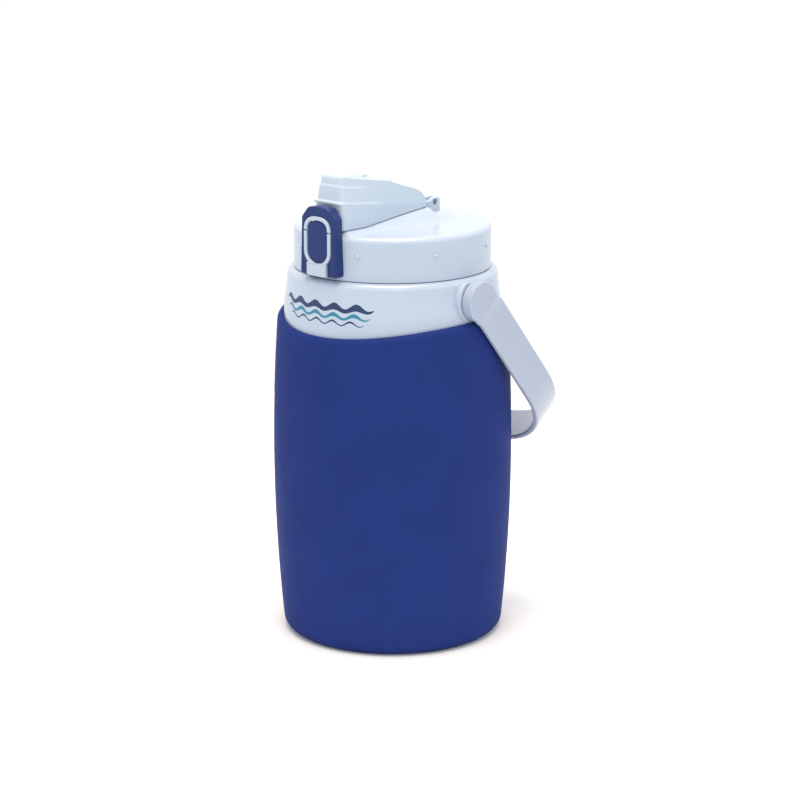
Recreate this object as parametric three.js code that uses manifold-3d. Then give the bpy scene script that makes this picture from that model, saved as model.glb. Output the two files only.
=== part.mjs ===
// Insulated water jug: foam-filled barrel body, swinging strap handle, screw lid with a flip-up
// spout cover, a push-button latch and a lock ring.
// Millimetres. +Z is up, the latch faces -Y, and the origin is the centre of the base.

import * as THREE from 'three';
import { mergeVertices } from 'three/addons/utils/BufferGeometryUtils.js';
import Module from 'manifold-3d';

const wasm = await Module();
wasm.setup();

// ---------------------------------------------------------------- driving dimensions

const ROUND = 36; // sides of every large turned piece
const GAP = 0.3; // clearance between pieces that touch

const body = {
  bellyRadius: 76.6,
  bellyHeight: 118,
  footRadius: 71.2,
  footCorner: 8,
  shoulderRadius: 73.6,
  shoulderHeight: 203.3,
  lipRadius: 69.8,
  lipRise: 4.4,
  wall: 2.6,
  ledgeDepth: 8.7, // from the lip's top down to the ledge that carries the collar
  ledgeWidth: 4.2,
};
const base = { recess: 1.6, footInner: 52, plugRadius: 10.2, plugFlange: 13, plugHeight: 6.5 };
const wave = { height: 4.1, from: 150, to: 196, collarFrom: 224, collarTo: 208 };
const foam = {
  footInset: 11,
  sideFrom: 14,
  sideTo: 178,
  throat: 64.9, // inside the shell's ledge and the collar's foot
  throatFrom: 184,
  throatTo: 203,
  shoulder: 62.5,
  shoulderAt: 209,
  crown: 58,
  crownFrom: 213,
  top: 231,
};
const liner = { radius: 58.5, wall: 2, floor: 19.5, corner: 6, shoulder: 206, neckBottom: 215 };
const neck = { outer: 51, inner: 49, top: 255 };
const thread = { lead: 10, starts: 2, turns: 1, width: 2.1, crest: 53.2, bottom: 241.5, runOut: 0.06 };
const collar = { top: 238.5, rim: 62.5, bore: 54.5, wall: 3.3, plate: 3.7 };
const collarSide = [[69, 215], [67.8, 225], [67.1, 231]]; // [radius, height] above its foot
const neckSeal = { bottom: 235.2, top: 237.8 };
const boss = { radius: 15, face: 69.4, root: 64.6, floor: 212.2, ceiling: 236.8 };
const pivot = { height: 225, studRadius: 5, studEnd: 74.6, flangeRadius: 7, flangeAt: 60.6 };
const handle = {
  restAngle: 50, // below the horizontal, towards the back
  hubInner: 69.8,
  hubOuter: 77,
  hubRadius: 13,
  boreDepth: 5.4,
  thickness: 4,
  width: 24,
  chamfer: 1,
  halfSpan: 79,
  reach: 141,
  bend: 61.5,
  joggleFrom: 5.5,
  joggleTo: 11.5,
};
const lid = { radius: 62.5, bottom: 238.8, top: 266.5, wall: 2.5, rim: 3.5 };
const pip = { radius: 1.5, height: 254.9, count: 8 };
const cup = { bottom: 244, plate: 2, plug: 47.6, bore: 54, skirt: 56.8, skirtBottom: 240.5, top: 259 };
const gasket = { inner: 48.2, outer: 52.4, bottom: 255.3, top: 256.7 };
const spout = { y: -34, tube: 7.4, bore: 5.2, bottom: 242, seat: 270.7, flange: 9.8, top: 293 };
const vent = { y: -16, tube: 3, bore: 1.2, bottom: 242, seat: 271.9, head: 4.4, top: 274.1 };
const seal = { inner: 6.2, outer: 7.8, height: 3 };
const hinge = { y: 28, z: 276.5, pin: 1.6, pinHalf: 10.8, knuckle: 3.6, knuckleHalf: 7.6, armDrop: 1.2 };
const ear = { inner: 8, outer: 11, front: 20.1, halfDepth: 5, foot: 269, radius: 3, springSlot: 3.3 };
const coverCoil = { radius: 2.7, wire: 0.42, pitch: 1.5, turns: 3 };
const cover = {
  front: -58.9,
  rear: 19.3,
  skirtHalf: 12.4,
  skirtRound: 1.4,
  towerHalf: 11.6,
  towerRound: 2.4,
  hollowHalf: 10.4,
  crownHollowHalf: 9.2,
  lipFront: -60.7,
  lipHalf: 12,
  lipBottom: 285.3,
  stepFront: 286.6, // top of the skirt at the front; it falls towards the hinge
  stepRear: 277.5,
};
const slot = { half: 1.1, front: -39.8, rear: -32.2, frontFloor: 301.4, rearFloor: 300.1 };
const catchLug = { half: 4.5, front: -61.5, bottom: 269.4, top: 271.4 };
const bezel = {
  half: 15.2,
  shoulderHalf: 13.9,
  front: -68.2,
  back: -60.2,
  innerBack: -62.3, // behind the window, clear of the spout cover's front
  innerHalf: 12.5,
  bottom: 241,
  shoulder: 277,
  top: 284.8,
  window: 11.5,
  windowRise: 10,
  slot: 8.4, // half the width of the window's foot, which the lock ring's tab fills
  boreHalf: 13.9,
};
const ring = { half: 11.1, leg: 2.4, front: -69.2, back: -66.9, archAt: 268.7, bowlAt: 256.5 };
const archSquareness = 2.6; // exponent of the arches' curve: 2 is an ellipse, more is squarer
const ringTab = { half: 8, bottom: 241.3, top: 248.2, front: -70.2, back: -65.4 };
const ringPin = { y: -66.9, z: 244.5, radius: 0.8, bore: 1.05 };
const button = { half: 8.3, front: -68.6, back: -66, archRise: 6.5, bowlDrop: 7 };
const buttonPin = { y: -65.5, z: 262, radius: 1.15, bore: 1.45 };
const buttonHook = { half: 4.5, back: -62.9, bottom: 272, top: 274 };
const buttonCoil = { radius: 1.9, wire: 0.3, pitch: 0.72, turns: 3, y: -64.5, z: 253.5 };
const latchPinHalf = 13.6;

// ---------------------------------------------------------------- materials

function plastic(color, roughness) {
  return new THREE.MeshStandardMaterial({ color, roughness, metalness: 0 });
}

const bluePebbled = () => plastic(0x2d3e87, 0.55);
const blueGloss = () => plastic(0x32417f, 0.35);
const whiteGloss = () => plastic(0xdfe6f2, 0.25);
const whiteInner = () => plastic(0xeceeee, 0.5);
const foamYellow = () => plastic(0xe8dcae, 0.9);
const silicone = () => plastic(0xc9d2d6, 0.6);
const rubber = () => plastic(0x3a3f45, 0.8);
const steel = () => new THREE.MeshStandardMaterial({ color: 0x8d9094, roughness: 0.35, metalness: 1 });

// ---------------------------------------------------------------- solids and booleans

// A closed solid from a three.js geometry, for joining and cutting.
function solidOf(geometry) {
  const bare = geometry.index ? geometry.toNonIndexed() : geometry.clone();
  bare.deleteAttribute('normal');
  bare.deleteAttribute('uv');
  const merged = mergeVertices(bare, 1e-4);
  const corners = merged.index.array;
  const kept = [];
  for (let i = 0; i < corners.length; i += 3) {
    const [a, b, c] = [corners[i], corners[i + 1], corners[i + 2]];
    if (a !== b && b !== c && c !== a) kept.push(a, b, c);
  }
  return new wasm.Manifold(new wasm.Mesh({
    numProp: 3,
    vertProperties: new Float32Array(merged.attributes.position.array),
    triVerts: new Uint32Array(kept),
  }));
}

function geometryOf(solid) {
  const mesh = solid.getMesh();
  const geometry = new THREE.BufferGeometry();
  geometry.setAttribute('position', new THREE.BufferAttribute(mesh.vertProperties, 3));
  geometry.setIndex(new THREE.BufferAttribute(mesh.triVerts, 1));
  geometry.computeVertexNormals();
  return geometry;
}

const join = (...geometries) => geometries.map(solidOf).reduce((sum, next) => sum.add(next));

function cut(solid, ...geometries) {
  return geometries.map(solidOf).reduce((left, tool) => left.subtract(tool), solid);
}

// ---------------------------------------------------------------- shape helpers

const AXES = {
  // shape x, shape y and extrusion direction in the jug's frame
  side: new THREE.Matrix4().makeBasis(
    new THREE.Vector3(0, 1, 0), new THREE.Vector3(0, 0, 1), new THREE.Vector3(1, 0, 0)),
  front: new THREE.Matrix4().makeBasis(
    new THREE.Vector3(1, 0, 0), new THREE.Vector3(0, 0, 1), new THREE.Vector3(0, -1, 0)),
};

// Turns a closed [radius, height] outline, listed anticlockwise, about +Z.
function turned(outline, sides = ROUND) {
  const points = outline.map(([r, z]) => new THREE.Vector2(r, z));
  if (outline[0][0] > 0 || outline.at(-1)[0] > 0) points.push(points[0].clone());
  return new THREE.LatheGeometry(points, sides).rotateX(Math.PI / 2);
}

function washer(inner, outer, bottom, top, sides = ROUND) {
  return turned([[inner, bottom], [outer, bottom], [outer, top], [inner, top]], sides);
}

function disc(radius, bottom, top, sides = ROUND) {
  return turned([[0, bottom], [radius, bottom], [radius, top], [0, top]], sides);
}

function rodAlongX(radius, from, to, y, z, sides = 20) {
  const rod = new THREE.CylinderGeometry(radius, radius, to - from, sides);
  return rod.rotateZ(Math.PI / 2).translate((from + to) / 2, y, z);
}

function post(radius, bottom, top, y, sides = 24) {
  return disc(radius, bottom, top, sides).translate(0, y, 0);
}

function block(x0, x1, y0, y1, z0, z1) {
  const size = new THREE.BoxGeometry(x1 - x0, y1 - y0, z1 - z0);
  return size.translate((x0 + x1) / 2, (y0 + y1) / 2, (z0 + z1) / 2);
}

// Points along an ellipse about (r, z), from one angle to another in degrees.
function arc(r, z, a, b, from, to, steps) {
  return Array.from({ length: steps + 1 }, (_, i) => {
    const angle = THREE.MathUtils.degToRad(from + (to - from) * i / steps);
    return [r + a * Math.cos(angle), z + b * Math.sin(angle)];
  });
}

function shapeOf(points) {
  return new THREE.Shape(points.map(([x, y]) => new THREE.Vector2(x, y)));
}

// Extrudes a side outline of [y, z] points evenly about x = 0, with chamfered long edges.
function slab(points, half, bevel = 0) {
  const geometry = new THREE.ExtrudeGeometry(shapeOf(points), {
    depth: 2 * (half - bevel),
    bevelEnabled: bevel > 0,
    bevelThickness: bevel,
    bevelSize: bevel,
    bevelOffset: -bevel,
    bevelSegments: 2,
  });
  return geometry.translate(0, 0, bevel - half).applyMatrix4(AXES.side);
}

// Extrudes a front outline of [x, z] points from the face at y = front back to y = back.
function plate(shape, front, back, bevel = 0) {
  const geometry = new THREE.ExtrudeGeometry(shape, {
    depth: back - front - bevel * 2,
    bevelEnabled: bevel > 0,
    bevelThickness: bevel,
    bevelSize: bevel,
    bevelOffset: -bevel,
    bevelSegments: 1,
    curveSegments: 8,
  });
  return geometry.translate(0, 0, bevel).applyMatrix4(AXES.front).translate(0, back, 0);
}

// A ridge wound once round +Z: a long box bent into a helix, with its two ends run out.
function helicalRidge(root, startAngle) {
  const { crest, width, bottom, lead, turns, runOut } = thread;
  const ridge = new THREE.BoxGeometry(1, 1, 1, ROUND * turns, 1, 1);
  const place = ridge.attributes.position;
  for (let i = 0; i < place.count; i++) {
    const along = place.getX(i) + 0.5;
    const height = Math.min(1, 0.4 + 0.6 * Math.min(along, 1 - along) / runOut);
    const radius = root + (crest - root) * height * (0.5 - place.getY(i));
    const angle = startAngle + along * turns * 2 * Math.PI;
    const z = bottom + lead * along * turns + place.getZ(i) * width;
    place.setXYZ(i, radius * Math.cos(angle), radius * Math.sin(angle), z);
  }
  return ridge;
}

// Lifts the points of a turned piece into the two-wave edge between shell and collar.
function waveEdge(geometry, from, to) {
  const place = geometry.attributes.position;
  for (let i = 0; i < place.count; i++) {
    const [x, y, z] = [place.getX(i), place.getY(i), place.getZ(i)];
    const share = THREE.MathUtils.clamp((z - from) / (to - from), 0, 1);
    const eased = share * share * (3 - 2 * share);
    const swing = Math.cos(2 * Math.atan2(y, x));
    place.setZ(i, z + eased * wave.height * swing);
  }
  return geometry;
}

class Coil extends THREE.Curve {
  constructor(radius, pitch, turns) {
    super();
    Object.assign(this, { radius, pitch, turns });
  }

  getPoint(t, target = new THREE.Vector3()) {
    const angle = t * this.turns * 2 * Math.PI;
    const along = (t - 0.5) * this.turns * this.pitch;
    return target.set(this.radius * Math.cos(angle), this.radius * Math.sin(angle), along);
  }
}

// A round-wire coil spring about +Z, centred on the origin.
function coilSpring(radius, wire, pitch, turns) {
  const section = new THREE.Shape().absarc(0, 0, wire, 0, 2 * Math.PI);
  return new THREE.ExtrudeGeometry(section, {
    steps: Math.round(turns * 10),
    curveSegments: 3,
    extrudePath: new Coil(radius, pitch, turns),
  });
}

// ---------------------------------------------------------------- jug body

// Outer radius of the barrel at a height: one parabola below the belly, one above.
function barrelRadius(z) {
  const { bellyRadius, bellyHeight, footRadius, footCorner, shoulderRadius, shoulderHeight } = body;
  const below = z < bellyHeight;
  const end = below ? footCorner : shoulderHeight;
  const drop = bellyRadius - (below ? footRadius : shoulderRadius);
  return bellyRadius - drop * ((z - bellyHeight) / (end - bellyHeight)) ** 2;
}

function barrelSide(from, to, steps, inset = 0) {
  return Array.from({ length: steps + 1 }, (_, i) => {
    const z = from + (to - from) * i / steps;
    return [barrelRadius(z) - inset, z];
  });
}

function outerShell() {
  const { footRadius, footCorner, shoulderRadius, shoulderHeight, lipRadius, lipRise, wall } = body;
  const hole = base.plugRadius + GAP;
  const lipTop = shoulderHeight + lipRise;
  const ledge = lipTop - body.ledgeDepth;
  const ledgeInner = lipRadius - body.ledgeWidth;
  const floorTop = base.recess + wall;
  const outline = [
    [hole, base.recess],
    [base.footInner - 2, base.recess],
    [base.footInner, 0],
    ...arc(footRadius - footCorner, footCorner, footCorner, footCorner, -90, 0, 4),
    ...barrelSide(footCorner, shoulderHeight, 9).slice(1),
    ...arc(lipRadius, shoulderHeight, shoulderRadius - lipRadius, lipRise, 0, 90, 3).slice(1),
    [lipRadius - 0.2, lipTop - 0.2],
    [lipRadius - 0.2, ledge],
    [ledgeInner, ledge],
    [ledgeInner, ledge - wall],
    ...barrelSide(footCorner + 1, shoulderHeight - 14, 5, wall).reverse(),
    [footRadius - footCorner, floorTop],
    [hole, floorTop],
  ];
  return waveEdge(turned(outline), wave.from, wave.to);
}

function basePlug() {
  const { recess, plugRadius, plugFlange, plugHeight } = base;
  const flangeBottom = recess + body.wall + GAP;
  return turned([[0, 0], [plugRadius, 0], [plugRadius, flangeBottom], [plugFlange, flangeBottom],
    [plugFlange, plugHeight], [0, plugHeight]], 32);
}

function foamInsulation() {
  const gap = 2 * GAP;
  const skin = body.wall + gap;
  const bottom = base.plugHeight + gap;
  const linerOuter = liner.radius + liner.wall;
  return turned([
    [0, bottom],
    [body.footRadius - foam.footInset, bottom],
    ...barrelSide(foam.sideFrom, foam.sideTo, 4, skin),
    [foam.throat, foam.throatFrom],
    [foam.throat, foam.throatTo],
    [foam.shoulder, foam.shoulderAt],
    [foam.crown, foam.crownFrom],
    [foam.crown, foam.top],
    [neck.outer + GAP, foam.top],
    [neck.outer + GAP, liner.neckBottom + GAP],
    [linerOuter + GAP, liner.shoulder + GAP],
    [linerOuter + GAP, liner.floor + liner.corner - GAP],
    [linerOuter - liner.corner + GAP, liner.floor - GAP],
    [0, liner.floor - GAP],
  ]);
}

function innerLiner() {
  const { radius, wall, floor, corner, shoulder, neckBottom } = liner;
  const outer = radius + wall;
  const vessel = turned([
    [0, floor],
    [outer - corner, floor],
    [outer, floor + corner],
    [outer, shoulder],
    [neck.outer, neckBottom],
    [neck.outer, neck.top - 0.6],
    [neck.outer - 0.6, neck.top],
    [neck.inner, neck.top],
    [neck.inner, neckBottom + 0.6],
    [radius, shoulder + 0.6],
    [radius, floor + corner + 0.4],
    [radius - corner + 0.4, floor + wall],
    [0, floor + wall],
  ]);
  const ridges = Array.from({ length: thread.starts }, (_, i) =>
    helicalRidge(neck.outer - 1, 2 * Math.PI * i / thread.starts));
  return geometryOf(join(vessel, ...ridges));
}

function collarRing() {
  const { shoulderHeight, lipRise, lipRadius, ledgeDepth } = body;
  const bottom = shoulderHeight + lipRise - ledgeDepth + 2 * GAP;
  const outerFoot = lipRadius - 0.2 - GAP;
  const { top, rim, bore, wall, plate: thick } = collar;
  const ringSolid = waveEdge(turned([
    [outerFoot - wall + 0.2, bottom],
    [outerFoot, bottom],
    [outerFoot, 208],
    ...collarSide,
    ...arc(rim, top - 4.5, 4.2, 4.5, 8, 90, 3),
    [bore, top],
    [bore, top - thick],
    [rim + 0.9, top - thick],
    ...collarSide.slice(0, 2).reverse().map(([r, z]) => [r - wall, z]),
  ]), wave.collarFrom, wave.collarTo);
  let solid = solidOf(ringSolid);
  for (const side of [-1, 1]) {
    const pad = solidOf(rodAlongX(boss.radius, boss.root, boss.face, 0, pivot.height, 32));
    const room = solidOf(block(boss.root - 1, boss.face + 1, -20, 20, boss.floor, boss.ceiling));
    const placed = pad.intersect(room);
    solid = solid.add(side > 0 ? placed : placed.mirror([1, 0, 0]));
  }
  const bores = rodAlongX(pivot.studRadius + GAP, -80, 80, 0, pivot.height, 24);
  return geometryOf(cut(solid, bores));
}

function neckSealRing() {
  return washer(neck.outer + GAP, collar.bore - GAP, neckSeal.bottom, neckSeal.top);
}

// A pivot stud lying along +X, flange inside the collar and shaft out through the boss.
function handleStud() {
  const { flangeAt, flangeRadius, studRadius, studEnd } = pivot;
  const flangeEnd = flangeAt + 2.4;
  return turned([[0, flangeAt], [flangeRadius, flangeAt], [flangeRadius, flangeEnd],
    [studRadius, flangeEnd], [studRadius, studEnd - 0.8], [studRadius - 0.8, studEnd], [0, studEnd]], 24)
    .rotateY(Math.PI / 2);
}

// ---------------------------------------------------------------- handle

// Half of the bail's outline in its own plane: x across, y out from the pivots.
function bailCurve(inset) {
  const { hubOuter, halfSpan, reach, bend, joggleFrom, joggleTo } = handle;
  const half = halfSpan - inset;
  const bendAt = reach - bend;
  const arch = arc(0, bendAt, half, bend - inset, 0, 90, 12);
  return [[hubOuter - inset, 0], [hubOuter - inset, joggleFrom], [half, joggleTo], ...arch];
}

// One edge of the whole bail, from the right hub over the crosspiece to the left hub.
function bailEdge(inset) {
  const right = bailCurve(inset);
  const left = right.slice(0, -1).reverse().map(([x, y]) => [-x, y]);
  return [...right, ...left];
}

// The bail lies in its own XY plane with the pivots on the X axis; its mesh is turned to rest.
function bail() {
  const { thickness, width, chamfer, hubInner, hubOuter, hubRadius, boreDepth } = handle;
  const outline = [...bailEdge(0), ...bailEdge(thickness).reverse()];
  const strap = new THREE.ExtrudeGeometry(shapeOf(outline), {
    depth: width - 2 * chamfer,
    bevelThickness: chamfer,
    bevelSize: chamfer,
    bevelOffset: -chamfer,
    bevelSegments: 1,
  }).translate(0, 0, chamfer - width / 2);
  const hub = turned([[0, hubInner], [hubRadius, hubInner], [hubRadius, hubOuter - 2],
    [hubRadius - 0.6, hubOuter - 0.6], [hubRadius - 2, hubOuter], [0, hubOuter]], 32)
    .rotateY(Math.PI / 2);
  const otherHub = hub.clone().rotateY(Math.PI);
  const boreEnd = hubInner + boreDepth;
  const bore = pivot.studRadius + GAP;
  return geometryOf(cut(join(strap, hub, otherHub),
    rodAlongX(bore, hubInner - 1, boreEnd, 0, 0, 24),
    rodAlongX(bore, -boreEnd, 1 - hubInner, 0, 0, 24)));
}

// ---------------------------------------------------------------- lid

// Parting line between the lid's wedge and the spout cover, as [y, z] points.
const parting = [[-53, 269], [-40, 269], [-24, 270.5], [-8, 272.2], [9, 273.8], [cover.rear, 274.6]];
const wedge = { half: 11.8, front: -54, foot: 265, rear: 37, rearTop: 270.5 };

function lidWedge() {
  const { half, front, foot, rear, rearTop } = wedge;
  const sink = GAP + 0.1;
  const top = parting.map(([y, z]) => [y, z - sink]);
  return slab([[front, foot], [rear, foot], [rear, lid.top + GAP], [rear - 2, rearTop],
    [cover.rear + 0.7, rearTop], ...top.reverse()], half);
}

function lidEar(side) {
  const { y, z } = hinge;
  const outline = [[ear.front, ear.foot], [y + ear.halfDepth, ear.foot],
    ...arc(y, z, ear.halfDepth, ear.radius, 0, 180, 8), [ear.front, z]];
  const half = (ear.outer - ear.inner) / 2;
  return slab(outline, half, 0.4).translate(side * (ear.inner + half), 0, 0);
}

function lidShell() {
  const { radius, bottom, top, wall, rim } = lid;
  const underside = top - wall - 0.1;
  const cap = turned([
    [radius - wall, bottom],
    [radius, bottom],
    ...arc(radius - rim, top - rim, rim, rim, 0, 90, 4),
    [0, top],
    [0, underside],
    [radius - wall - 1.5, underside],
    [radius - wall, underside - 1.5],
  ]);
  const pips = Array.from({ length: pip.count }, (_, i) => {
    const angle = 2 * Math.PI * (i + 0.5) / pip.count;
    return new THREE.SphereGeometry(pip.radius, 8, 6)
      .translate(radius * Math.cos(angle), radius * Math.sin(angle), pip.height);
  });
  const solid = join(cap, lidWedge(), lidEar(-1), lidEar(1), ...pips);
  return geometryOf(cut(solid,
    post(spout.tube + 2 * GAP, 250, 280, spout.y),
    post(vent.tube + GAP, 250, 280, vent.y),
    rodAlongX(hinge.pin + GAP, -20, 20, hinge.y, hinge.z)));
}

function lidInnerCup() {
  const { bottom, plate: thick, plug, bore, skirt, skirtBottom, top } = cup;
  const flange = lid.radius - lid.wall - 0.7;
  const under = top - thick;
  const solid = turned([
    [0, bottom],
    [plug, bottom],
    [plug, under],
    [bore, under],
    [bore, skirtBottom],
    [skirt, skirtBottom],
    [skirt, under],
    [flange, under],
    [flange, top],
    [plug - thick, top],
    [plug - thick, bottom + thick],
    [0, bottom + thick],
  ]);
  return geometryOf(cut(solidOf(solid),
    post(spout.tube + GAP, 230, 280, spout.y),
    post(vent.tube + GAP, 230, 280, vent.y)));
}

function lidFoam() {
  const { bottom, plate: thick, plug, top } = cup;
  const inner = plug - thick - 2 * GAP;
  const outer = lid.radius - lid.wall - 2;
  const foam = disc(inner, bottom + thick + GAP, top + GAP + 0.1);
  const cap = disc(outer, top + GAP, lid.top - lid.wall - 2 * GAP);
  return geometryOf(cut(join(foam, cap),
    post(spout.flange + 2 * GAP, 230, 280, spout.y),
    post(vent.tube + GAP, 230, 280, vent.y)));
}

function spoutTube() {
  const { tube, bore, bottom, seat, flange, top, y } = spout;
  const nozzle = tube - 0.6;
  return turned([[bore, bottom], [tube, bottom], [tube, seat], [flange, seat], [flange, seat + 1.4],
    [nozzle, seat + 2.2], [nozzle, top - 3], [nozzle + 0.6, top - 1.8], [nozzle, top - 0.4],
    [bore + 0.8, top], [bore, top - 0.8]], 28).translate(0, y, 0);
}

function spoutORing() {
  const floor = cup.bottom + cup.plate + GAP;
  return washer(spout.tube + GAP, spout.flange, floor, floor + 1.9, 28).translate(0, spout.y, 0);
}

function ventValve() {
  const { tube, bore, bottom, seat, head, top, y } = vent;
  return turned([[bore, bottom], [tube, bottom], [tube, seat], [head, seat], [head - 0.5, top],
    [bore, top]], 18).translate(0, y, 0);
}

function lidGasket() {
  return washer(gasket.inner, gasket.outer, gasket.bottom, gasket.top);
}

// ---------------------------------------------------------------- spout cover

// Side outline of the raised crown and neck, as [y, z] points.
const crownSide = [
  [-58.3, 276], [18.8, 276], [18.9, 280.3], [16, 284.2], [13, 286.4], [-6, 292.8], [-14, 297],
  [-22, 299.4], [-38, 302.3], [-50, 303], [-56.2, 302.8], [-57.3, 301.2], [-58.3, 286.6],
];
const crownHollow = [
  [-56.1, 275], [16.2, 272], [16.2, 278.5], [12, 283], [-7, 289.4], [-15, 294.2], [-24, 296.6],
  [-38, 299.6], [-50, 300.3], [-54.2, 299.4], [-55.7, 286],
];
const skirtHollow = [[-56.5, 262], [16.6, 262], [16.6, 276], [-56.5, 284.5]];

function spoutCover() {
  const { front, rear, lipFront, lipHalf, lipBottom, stepFront, stepRear } = cover;
  const { y, z, pin, knuckle, knuckleHalf, armDrop } = hinge;
  const skirt = slab([[front, parting[0][1]], ...parting, [rear, stepRear], [front, stepFront]],
    cover.skirtHalf, cover.skirtRound);
  const lip = slab([[lipFront, lipBottom], [front + 2, lipBottom], [front + 2, stepFront],
    [lipFront, stepFront]], lipHalf, 0.3);
  const crown = slab(crownSide, cover.towerHalf, cover.towerRound);
  const arm = block(-knuckleHalf, knuckleHalf, 16, y, z - armDrop, z + knuckle);
  const barrel = rodAlongX(knuckle, -knuckleHalf, knuckleHalf, y, z, 24);
  const lug = block(-catchLug.half, catchLug.half, catchLug.front, front + 1.3,
    catchLug.bottom, catchLug.top);
  const sealTop = spout.top + seal.height + 2 * GAP;
  const sealSeat = post(seal.outer - 0.6, sealTop, sealTop + 3.5, spout.y);
  const shell = cut(join(skirt, lip, crown), slab(skirtHollow, cover.hollowHalf),
    slab(crownHollow, cover.crownHollowHalf, 1));
  return geometryOf(cut(shell.add(join(arm, barrel, sealSeat)).add(solidOf(lug)),
    rodAlongX(pin + GAP, -20, 20, y, z),
    block(-ear.springSlot, ear.springSlot, y - 6, y + 10, z - 10, z + 10),
    slab([[slot.front, slot.frontFloor], [slot.rear, slot.rearFloor], [slot.rear, slot.rearFloor + 4],
      [slot.front, slot.frontFloor + 4]], slot.half)));
}

function spoutSeal() {
  const bottom = spout.top + GAP;
  const top = bottom + seal.height;
  return turned([[0, bottom], [seal.inner, bottom], [seal.outer, bottom + 0.8], [seal.outer, top], [0, top]],
    28).translate(0, spout.y, 0);
}

function coverHingePin() {
  return rodAlongX(hinge.pin, -hinge.pinHalf, hinge.pinHalf, hinge.y, hinge.z);
}

function coverSpring() {
  const { radius, wire, pitch, turns } = coverCoil;
  return coilSpring(radius, wire, pitch, turns).rotateY(Math.PI / 2).translate(0, hinge.y, hinge.z);
}

// ---------------------------------------------------------------- latch

// A squarish arch in [x, z] over the middle of the latch, from right to left.
function squareArch(half, rise, steps) {
  const share = (value) => Math.sign(value) * Math.abs(value) ** (2 / archSquareness);
  return Array.from({ length: steps + 1 }, (_, i) => {
    const turn = Math.PI * i / steps;
    return [half * share(Math.cos(turn)), ring.archAt + rise * share(Math.sin(turn))];
  });
}

// The bezel's window: the arch, straight sides, then in to the slot for the lock ring's tab.
function windowOutline() {
  const { window: half, windowRise, slot: foot, bottom } = bezel;
  const neckAt = ringTab.top + 0.4;
  const sideAt = ring.bowlAt - 0.4;
  return [[-foot, bottom - 2], [foot, bottom - 2], [foot, neckAt], [half, sideAt],
    ...squareArch(half, windowRise, 14), [-half, sideAt], [-foot, neckAt]];
}

function latchBezel() {
  const { half, shoulderHalf, front, back, innerBack, innerHalf, bottom, shoulder, top, boreHalf } = bezel;
  const crown = arc(0, shoulder, shoulderHalf - 0.6, top - shoulder, 20, 160, 8);
  const outline = [[-half, bottom + 1.5], [1.5 - half, bottom], [half - 1.5, bottom],
    [half, bottom + 1.5], [shoulderHalf, shoulder], ...crown, [-shoulderHalf, shoulder]];
  const solid = cut(
    solidOf(plate(shapeOf(outline), front, back, 0.8)),
    plate(shapeOf(windowOutline()), front - 2, back + 2),
    disc(lid.radius + 0.4, bottom - 10, lid.top + GAP),
    block(-innerHalf, innerHalf, innerBack, back + 2, lid.top - 4, top + 5),
    rodAlongX(ringPin.bore, -boreHalf, boreHalf, ringPin.y, ringPin.z, 12),
    rodAlongX(buttonPin.bore, -boreHalf, boreHalf, buttonPin.y, buttonPin.z, 12));
  return geometryOf(solid);
}

function lockRing() {
  const { half, leg, front, back, bowlAt } = ring;
  const outline = [
    [-ringTab.half, ringTab.bottom + 4], [ringTab.half, ringTab.bottom + 4],
    [ringTab.half, ringTab.top + 0.8], [half, bowlAt], ...squareArch(half, 9.6, 12),
    [-half, bowlAt], [-ringTab.half, ringTab.top + 0.8],
  ];
  const loop = shapeOf([
    ...squareArch(half - leg, 7.2, 10),
    ...arc(0, bowlAt, half - leg, 7.5, 180, 360, 10),
  ]);
  const tab = shapeOf([[-ringTab.half, ringTab.bottom], [ringTab.half, ringTab.bottom],
    [ringTab.half, ringTab.top], [-ringTab.half, ringTab.top]]);
  const solid = cut(
    join(plate(shapeOf(outline), front, back, 0.5), plate(tab, ringTab.front, ringTab.back, 0.6)),
    plate(loop, front - 2, ringTab.back + 2),
    rodAlongX(ringPin.bore, -20, 20, ringPin.y, ringPin.z, 12));
  return geometryOf(solid);
}

function releaseButton() {
  const { half, front, back, archRise, bowlDrop } = button;
  const { y, z, bore } = buttonPin;
  const oval = shapeOf([
    ...squareArch(half, archRise, 10),
    ...arc(0, ring.bowlAt, half, bowlDrop, 180, 360, 10),
  ]);
  const pad = plate(oval, front, back, 0.8);
  const pivotLug = block(-6, 6, back - 0.5, y + 2.2, z - 2.6, z + 2.6);
  const hook = block(-buttonHook.half, buttonHook.half, back - 0.5, buttonHook.back,
    buttonHook.bottom, buttonHook.top);
  return geometryOf(cut(join(pad, pivotLug, hook), rodAlongX(bore, -10, 10, y, z, 12)));
}

function buttonSpring() {
  const { radius, wire, pitch, turns, y, z } = buttonCoil;
  return coilSpring(radius, wire, pitch, turns).rotateX(Math.PI / 2).translate(0, y, z);
}

function latchPin({ radius, y, z }) {
  return rodAlongX(radius, -latchPinHalf, latchPinHalf, y, z, 12);
}

// ---------------------------------------------------------------- assembly

const jug = new THREE.Group();

function add(parent, name, geometry, material) {
  const mesh = new THREE.Mesh(geometry, material);
  mesh.name = name;
  parent.add(mesh);
  return mesh;
}

const jugBody = new THREE.Group();
add(jugBody, 'outer_shell', outerShell(), bluePebbled());
add(jugBody, 'base_plug', basePlug(), rubber());
add(jugBody, 'foam_insulation', foamInsulation(), foamYellow());
add(jugBody, 'inner_liner', innerLiner(), whiteInner());
add(jugBody, 'collar', collarRing(), whiteGloss());
add(jugBody, 'neck_seal_ring', neckSealRing(), rubber());
const rightStud = add(jugBody, 'handle_stud_right', handleStud(), steel());
rightStud.position.z = pivot.height;
const leftStud = add(jugBody, 'handle_stud_left', handleStud().rotateZ(Math.PI), steel());
leftStud.position.z = pivot.height;

const bailMesh = add(jug, 'handle', bail(), whiteGloss());
bailMesh.position.z = pivot.height;
bailMesh.rotation.x = -THREE.MathUtils.degToRad(handle.restAngle);

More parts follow.
